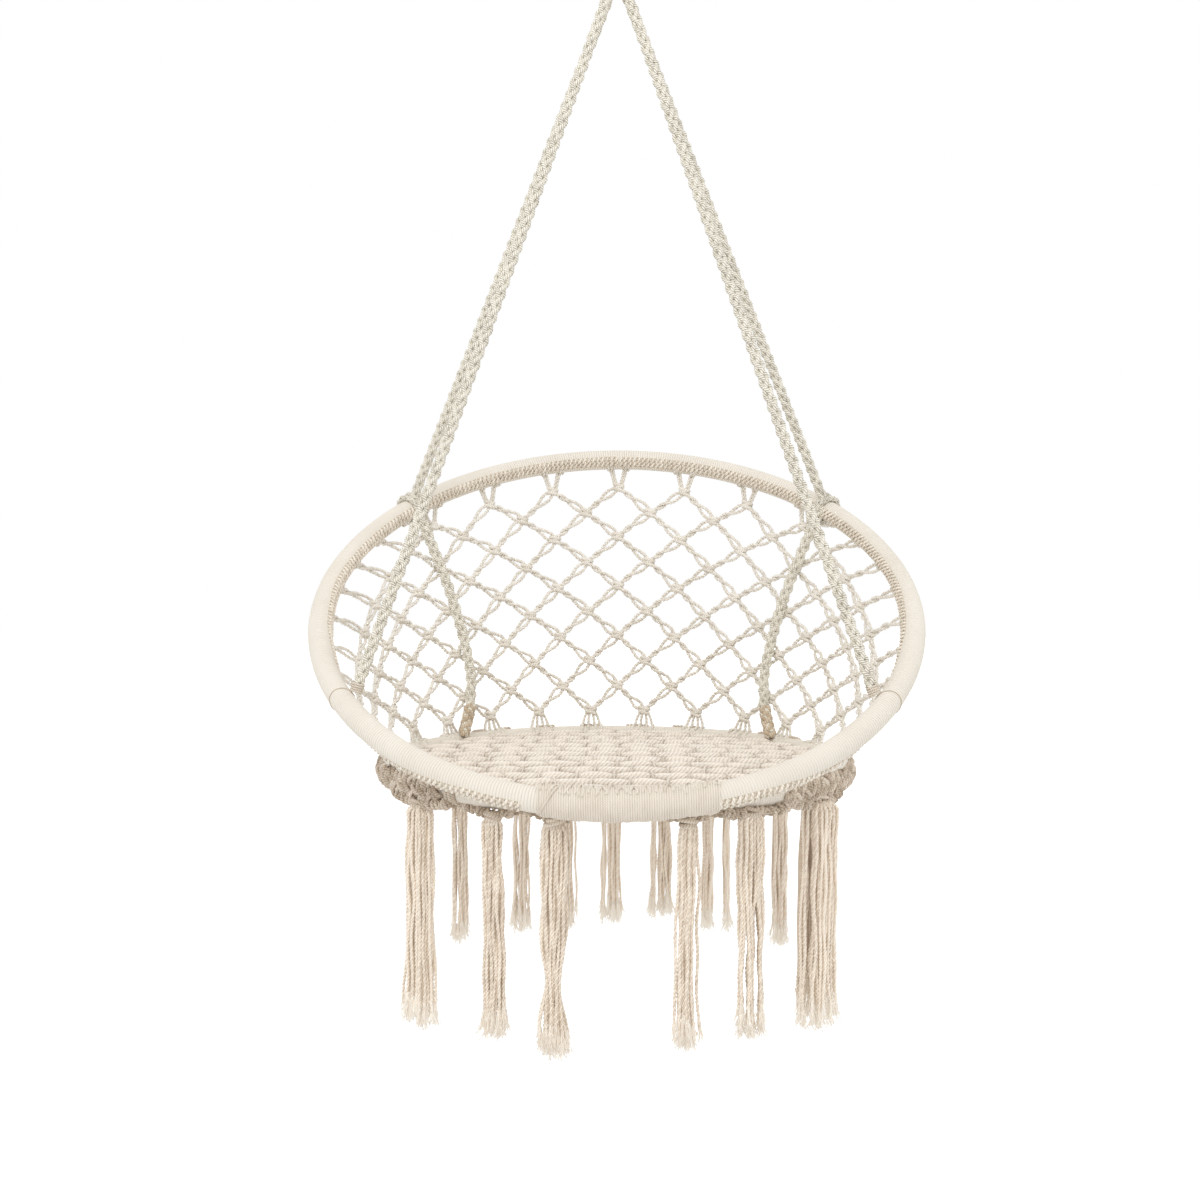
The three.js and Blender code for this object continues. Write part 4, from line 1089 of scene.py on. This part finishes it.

# Each row, in millimetres and degrees: the tassel's place round the hoop from the front, how far its two arms
# reach along the hoop, its knot's half width, its number of cords, its half width, its highest and lowest
# points, how far it sways, how much it narrows above its foot, how much its foot spreads, how many cords hang
# apart, how pale it is, its arms' half width, and from where on its way down it divides into which parts.
# How pale the side and rear tassels are is partly painted light: the lamps light them less, so they are
# drawn paler.
fringe = [
    (-50, 13, 12.0, 12.0, 42, 24.0, -25, -281, 1.0, 0.0, 0.28, 0, 0.85, 6.0, 1, one_part),
    (-27, 10.0, 6.5, 9.0, 24, 15.0, -25, -271, 5.0, 0.0, 0.2, 0, 0.6, 5.0, 1, one_part),
    (-12.5, 6.0, 8.5, 10.0, 30, 18.5, -27, -283, -3.0, 0.46, 0.1, 0, 0.7, 4.2, 1, one_part),
    (16.3, 8.5, 8.5, 10.0, 24, 12.0, -25, -275, -4.0, 0.15, 0.25, 2, 0.65, 4.2, 1, one_part),
    (31.5, 8.5, 13, 11.0, 36, 19.5, -21, -272, 0.0, 0.1, 0.0, 0, 0.7, 5.4, 0.42, three_parts),
    (55, 13, 11, 18.0, 50, 34.0, -21, -284, -4.0, 0.0, 0.1, 0, 0.9, 6.0, 0.05, wide_parts),
    (127.6, 6.0, 6.0, 9.0, 18, 15.0, -29, -287, 4.0, 0.0, 0.1, 0, 1.0, 5.0, 0.05, two_parts),
    (150.3, 6.5, 6.5, 12.0, 30, 27.0, -29, -286, 2.0, 0.0, 0.1, 0, 1.05, 5.0, 0.0, split_parts),
    (167.4, 5.5, 5.5, 10.0, 26, 20.0, -29, -277, -2.0, 0.0, 0.2, 0, 1.05, 5.0, 0.1, two_parts),
    (181.4, 5.5, 5.5, 9.0, 22, 18.0, -29, -288, 3.0, 0.0, 0.2, 0, 1.0, 5.0, 0.05, two_parts),
    (195, 5.5, 5.5, 9.0, 15, 13.0, -29, -294, -2.0, 0.0, 0.1, 2, 0.95, 5.0, 1, one_part),
    (208.5, 6.0, 6.0, 9.0, 18, 15.5, -29, -292, 2.0, 0.0, 0.15, 0, 0.95, 5.0, 0.05, two_parts),
    (229.7, 6.0, 6.0, 9.0, 18, 15.5, -29, -292, -4.0, 0.0, 0.15, 0, 0.9, 5.0, 0.05, two_parts),
]
# The tassel cords glow faintly (through): painted light for light passing through them.
tassel_cotton = cotton(
    "tassel_cotton", light=(255, 244, 229), deep=(180, 157, 130),
    plies=2, lay_length=6 * mm, depth=0.3 * mm, contrast=0.4, through=0.075,
)


def fibre(name, light, deep, through):
    """Loose cotton fibre: pale, dull and only slightly uneven. It glows faintly in its own colour, as strong
    as
    through: painted light for light passing through it.
    """
    finish = Finish(bpy.data.materials.new(name))
    blotch = finish.noise(finish.where(), 160, 3)
    colour = finish.mixed(blotch * 0.7 + finish.tone() * 0.5, tone_of(*deep), tone_of(*light))
    sockets = {"Base Color": colour, "Roughness": 0.95, "Specular IOR Level": 0.1}
    sockets |= {"Emission Color": colour, "Emission Strength": through}
    return finish.surface(sockets | {"Normal": finish.relief(blotch, 0.1 * mm)})


# The frayed fibre glows a little more (through): painted light for light passing through it.
frayed_fibre = fibre("frayed_fibre", light=(255, 250, 241), deep=(234, 219, 201), through=0.13)


def under_hoop(turn, radius, height):
    """A place at a turn, a radius and a height from the seat hoop's centre."""
    turn = np.asarray(turn, float)
    height = np.broadcast_to(height, turn.shape)
    return seat_centre + np.stack([radius * np.sin(turn), -radius * np.cos(turn), height], -1)


def loops_along(line, count, radius):
    """Places count tilted loops round a line."""
    where = np.linspace(0.08, 0.92, count) + chance.uniform(-0.04, 0.04, count)
    index = np.clip((where * (len(line) - 1)).astype(int), 1, len(line) - 2)
    middle, ahead = line[index], unit(line[index + 1] - line[index - 1])
    axis = unit(ahead + chance.normal(0, 0.45, (count, 3)))
    across = unit(np.cross(axis, [0.3, 0.2, 1]))
    around = np.linspace(0, 2 * math.pi, 14, endpoint=False)[:, None]
    far = radius * chance.uniform(0.85, 1.12, (count, 1, 1))
    ring = np.cos(around) * across[:, None] + np.sin(around) * np.cross(axis, across)[:, None]
    return middle[:, None] + far * ring


for number, row in enumerate(fringe, 1):
    degrees, before, after, knot_half, cords, half_width, highest, lowest = row[:8]
    sway, waist, flare, loose, tone, arm, split, parts = row[8:]
    turn = math.radians(degrees)
    outward, sideways = hoop_out(seat_hoop, turn), hoop_along(seat_hoop, turn)
    head = under_hoop(turn, hang_radius, highest * mm)
    # At the front the arms keep well under the hoop, clear of the back hoop as the chair folds.
    tucked, grip_end = (7 * mm, -1.1) if abs(degrees) < 30 else (0, 1.6)
    work = CordWork()
    for reach in (-before, after):
        hold = turn + math.radians(reach)
        line = eased(
            [
                under_hoop(turn + math.radians(reach * 1.08), 308 * mm - tucked, -9 * mm),
                under_hoop(turn + math.radians(reach * 0.85), 313 * mm - tucked, -14.5 * mm),
                under_hoop(turn + math.radians(reach * 0.45), 312 * mm - tucked, -18.5 * mm),
                head + [0, 0, 3 * mm],
                head + [0, 0, -3 * mm],
            ],
            2 * mm,
        )
        # The arms, the loops round them and their grips get low tones: painted shade under the seat hoop.
        plait(work, line, arm * mm, thin_repeat, tone=0.0)
        count = max(4, round(lengths_along(line)[-1] / loop_pitch))
        loops = loops_along(line, count, arm * mm)
        tones = 0.15 + chance.uniform(-0.5, 0.35, count)
        work.lay(loops, loop_cord, sides=6, shade=tones, joined=True)
        slide = hold + np.array([-grip_pitch, 0, grip_pitch]) * mm / seat_hoop["radius"]
        grip = np.linspace(-2.2, grip_end, 12)
        far = wrap_radius + 1.8 * mm - 1.8 * mm * np.linspace(-1, 1, 12) ** 6
        tones = 0.2 + chance.uniform(-0.3, 0.3, 3)
        work.lay(round_hoop(seat_hoop, slide[:, None], grip, far), grip_cord, sides=6, shade=tones)
    # The knot: turns of cord that lean this way and that.
    angle = np.linspace(0, 2 * math.pi, 18, endpoint=False)
    deep = min(8.5, 0.8 * knot_half)
    for drop, share in ((6.0, 0.8), (3.0, 1.0), (-0.5, 0.95), (-4.0, 0.85)):
        wide = share * knot_half * mm * (1 + chance.uniform(-0.12, 0.12))
        tilt = chance.choice([-1, 1]) * chance.uniform(0.2, 0.65)
        rise = drop * mm + tilt * np.cos(angle + chance.uniform(0, 1)) * wide * 0.6
        loop = head + np.outer(np.cos(angle) * wide, sideways)
        loop = loop + np.outer(np.sin(angle) * deep * share * mm, outward)
        loop = loop + np.outer(rise, [0, 0, 1])
        work.lay(loop, knot_cord, sides=6, shade=0.4 + chance.uniform(-0.35, 0.3), joined=True)
    knotting = work.piece(f"fringe_cord_{number:02d}_knotted", fringe_cotton)
    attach(knotting, "seat")
    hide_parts(f"fringe_cord_{number:02d}")

    # The tassel: two-ply cords that come out round the knot, turn down over a soft shoulder and hang side by
    # side over an oval, each frayed at its foot.
    golden = golden_angle * np.arange(cords)
    spread = np.sqrt((np.arange(cords) + 0.6) / cords)
    aside, proud = spread * np.cos(golden), 0.62 * spread * np.sin(golden)
    astray = np.argsort(-np.abs(aside))[:loose]
    steps = np.linspace(0, 1, 126 if number <= front_tassels else 104)
    bottom = (lowest + 12) * mm + chance.uniform(-9, 10, cords) * mm
    top = head[2] - seat_centre[2] + 2 * mm
    height = top + steps * (bottom - top)[:, None]
    shoulder = np.clip(steps * (top - lowest * mm) / shoulder_length, 0, 1)
    width = 0.42 + 0.58 * np.sin(shoulder * math.pi / 2)
    width = width - waist * np.exp(-(((steps - 0.74) / 0.15) ** 2)) + flare * steps**4
    width = np.repeat(width[None], cords, 0)
    width[astray] += 0.5 * (1 - np.exp(-steps / 0.2))
    divided = np.clip((steps - split) / 0.2, 0, 1)
    centres, squeezes = np.array(parts or ((0.0, 1.0),)).T
    across = aside * sideways[0] + proud * outward[0]
    part = np.abs(across[:, None] - centres).argmin(1)
    drawn = ((1 - squeezes[part]) * (centres[part] - across))[:, None] * divided
    phase, rate = chance.uniform(0, 6.3, (2, cords, 1)), chance.uniform(1.6, 3.2, (2, cords, 1))
    waver = chance.uniform(0.7, 1.8, (2, cords, 1)) * mm * np.sin(2 * math.pi * rate * steps + phase)
    waver = waver * np.minimum(1, steps / 0.15)
    swing = sway * mm * np.sin(2.6 * steps) * steps
    along = (aside[:, None] + drawn * sideways[0]) * (half_width - 2) * mm * width + waver[0] + swing
    out = (proud[:, None] + drawn * outward[0]) * (half_width - 2) * mm * width + waver[1]
    middles = under_hoop(np.full_like(height, turn), hang_radius, height)
    paths = middles + along[..., None] * sideways + out[..., None] * outward
    work = CordWork()
    tones = tone + chance.uniform(-0.3, 0.3, cords)
    work.twist(paths, tassel_cord * (1 - 0.2 * steps**12), tassel_twist, shade=tones)
    # Cords fill the middle of each part, so no light shows through it. They are drawn darker: painted shade
    # between the cords.
    last = int(0.89 * len(steps))
    for k in range(len(centres)):
        inner = paths[part == k][:, :last:6]
        reach = 0.9 * (along[part == k] - waver[0][part == k])[:, :last:6].std(0)
        for share in (-0.84, 0, 0.84):
            middle = inner.mean(0) + share * reach[:, None] * sideways
            thick = 0.6 * reach * np.sin(np.linspace(0.5, 2.9, len(middle))) ** 0.3
            work.lay(middle, np.minimum(thick, 0.3 * half_width * mm), sides=10, shade=-0.1)
    tassel = work.piece(f"tassel_{number:02d}_cords", tassel_cotton)
    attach(tassel, "seat")
    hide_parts(f"tassel_{number:02d}")
    feet = np.repeat(paths[:, -1], strands, 0) + chance.normal(0, 0.8 * mm, (cords * strands, 3))
    heading = np.repeat(unit(paths[:, -1] - paths[:, -4]), strands, 0)[:, None]
    fan = chance.normal(0, 0.16, (len(feet), 3)) * [1, 1, 0]
    length = chance.uniform(9, 21, len(feet))[:, None, None] * mm
    share = np.linspace(-0.7, 1, 6)[:, None]
    strayed = heading * share + fan[:, None] * share * abs(share) * 1.3
    wisps = feet[:, None] + fan[:, None] * 5 * mm + length * strayed
    thinning = strand_width * np.linspace(1.4, 0.7, 6)
    tones = np.repeat(tones, strands) + chance.uniform(-0.2, 0.2, len(feet))
    work = CordWork()
    work.lay(wisps, thinning, sides=3, shade=tones)
    frayed = work.piece(f"tassel_{number:02d}_frayed_ends", frayed_fibre)
    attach(frayed, "seat")

# Floor and light: a pale floor well below the chair, an even white room that the camera sees as pure white,
# and three soft lamps: above in front, at the right, and behind.
bpy.ops.object.select_all(action="DESELECT")
bpy.ops.mesh.primitive_plane_add(size=30, location=(0, 4, -2.15))
floor = bpy.context.object
floor.name = "floor"


def where_seen(finish):
    """Is 1 where the camera sees a surface, straight or in metal or glass."""
    rays = ("Is Camera Ray", "Is Glossy Ray", "Is Transmission Ray")
    camera_ray, glossy, through = (finish.node("ShaderNodeLightPath", {}, {}, ray) for ray in rays)
    return camera_ray + glossy + through


pale = Finish(bpy.data.materials.new("pale_floor"))
matt = pale.node("ShaderNodeBsdfDiffuse", {}, {"Color": (0.9, 0.9, 0.9, 1)}, "BSDF")
glow = pale.node("ShaderNodeEmission", {}, {"Color": (1, 1, 1, 1), "Strength": 0.5}, "Emission")
both = pale.node("ShaderNodeAddShader", {}, {0: matt, 1: glow}, 0)
pale.ends_in(pale.node("ShaderNodeMixShader", {}, {0: where_seen(pale), 1: matt, 2: both}, 0))
floor.data.materials.append(pale.owner)

world = bpy.data.worlds.new("white_room")
bpy.context.scene.world = world
room = Finish(world, "ShaderNodeOutputWorld")
plain = room.node("ShaderNodeBackground", {}, {"Color": (1, 1, 1, 1), "Strength": 0.86}, 0)
white = room.node("ShaderNodeBackground", {}, {"Color": (1, 1, 1, 1), "Strength": 1.0}, 0)
room.ends_in(room.node("ShaderNodeMixShader", {}, {0: where_seen(room), 1: plain, 2: white}, 0))

lamps = (
    ("lamp_above_front", (-1.2, -2.6, 1.6), 2.6, 36),
    ("lamp_right", (2.8, -1.6, 0.2), 1.8, 8),
    ("lamp_behind", (1.5, 3.2, 1.2), 2.6, 10),
)
for name, place, size, power in lamps:
    bpy.ops.object.light_add(type="AREA", location=place)
    lamp = bpy.context.object
    lamp.name = name
    lamp.data.shape = "DISK"
    lamp.data.size = size
    lamp.data.energy = power
    aim = Vector((0, 0, -1)) - Vector(place)
    lamp.rotation_mode = "QUATERNION"
    lamp.rotation_quaternion = aim.to_track_quat("-Z", "Y")

bpy.context.scene.view_settings.view_transform = "Standard"
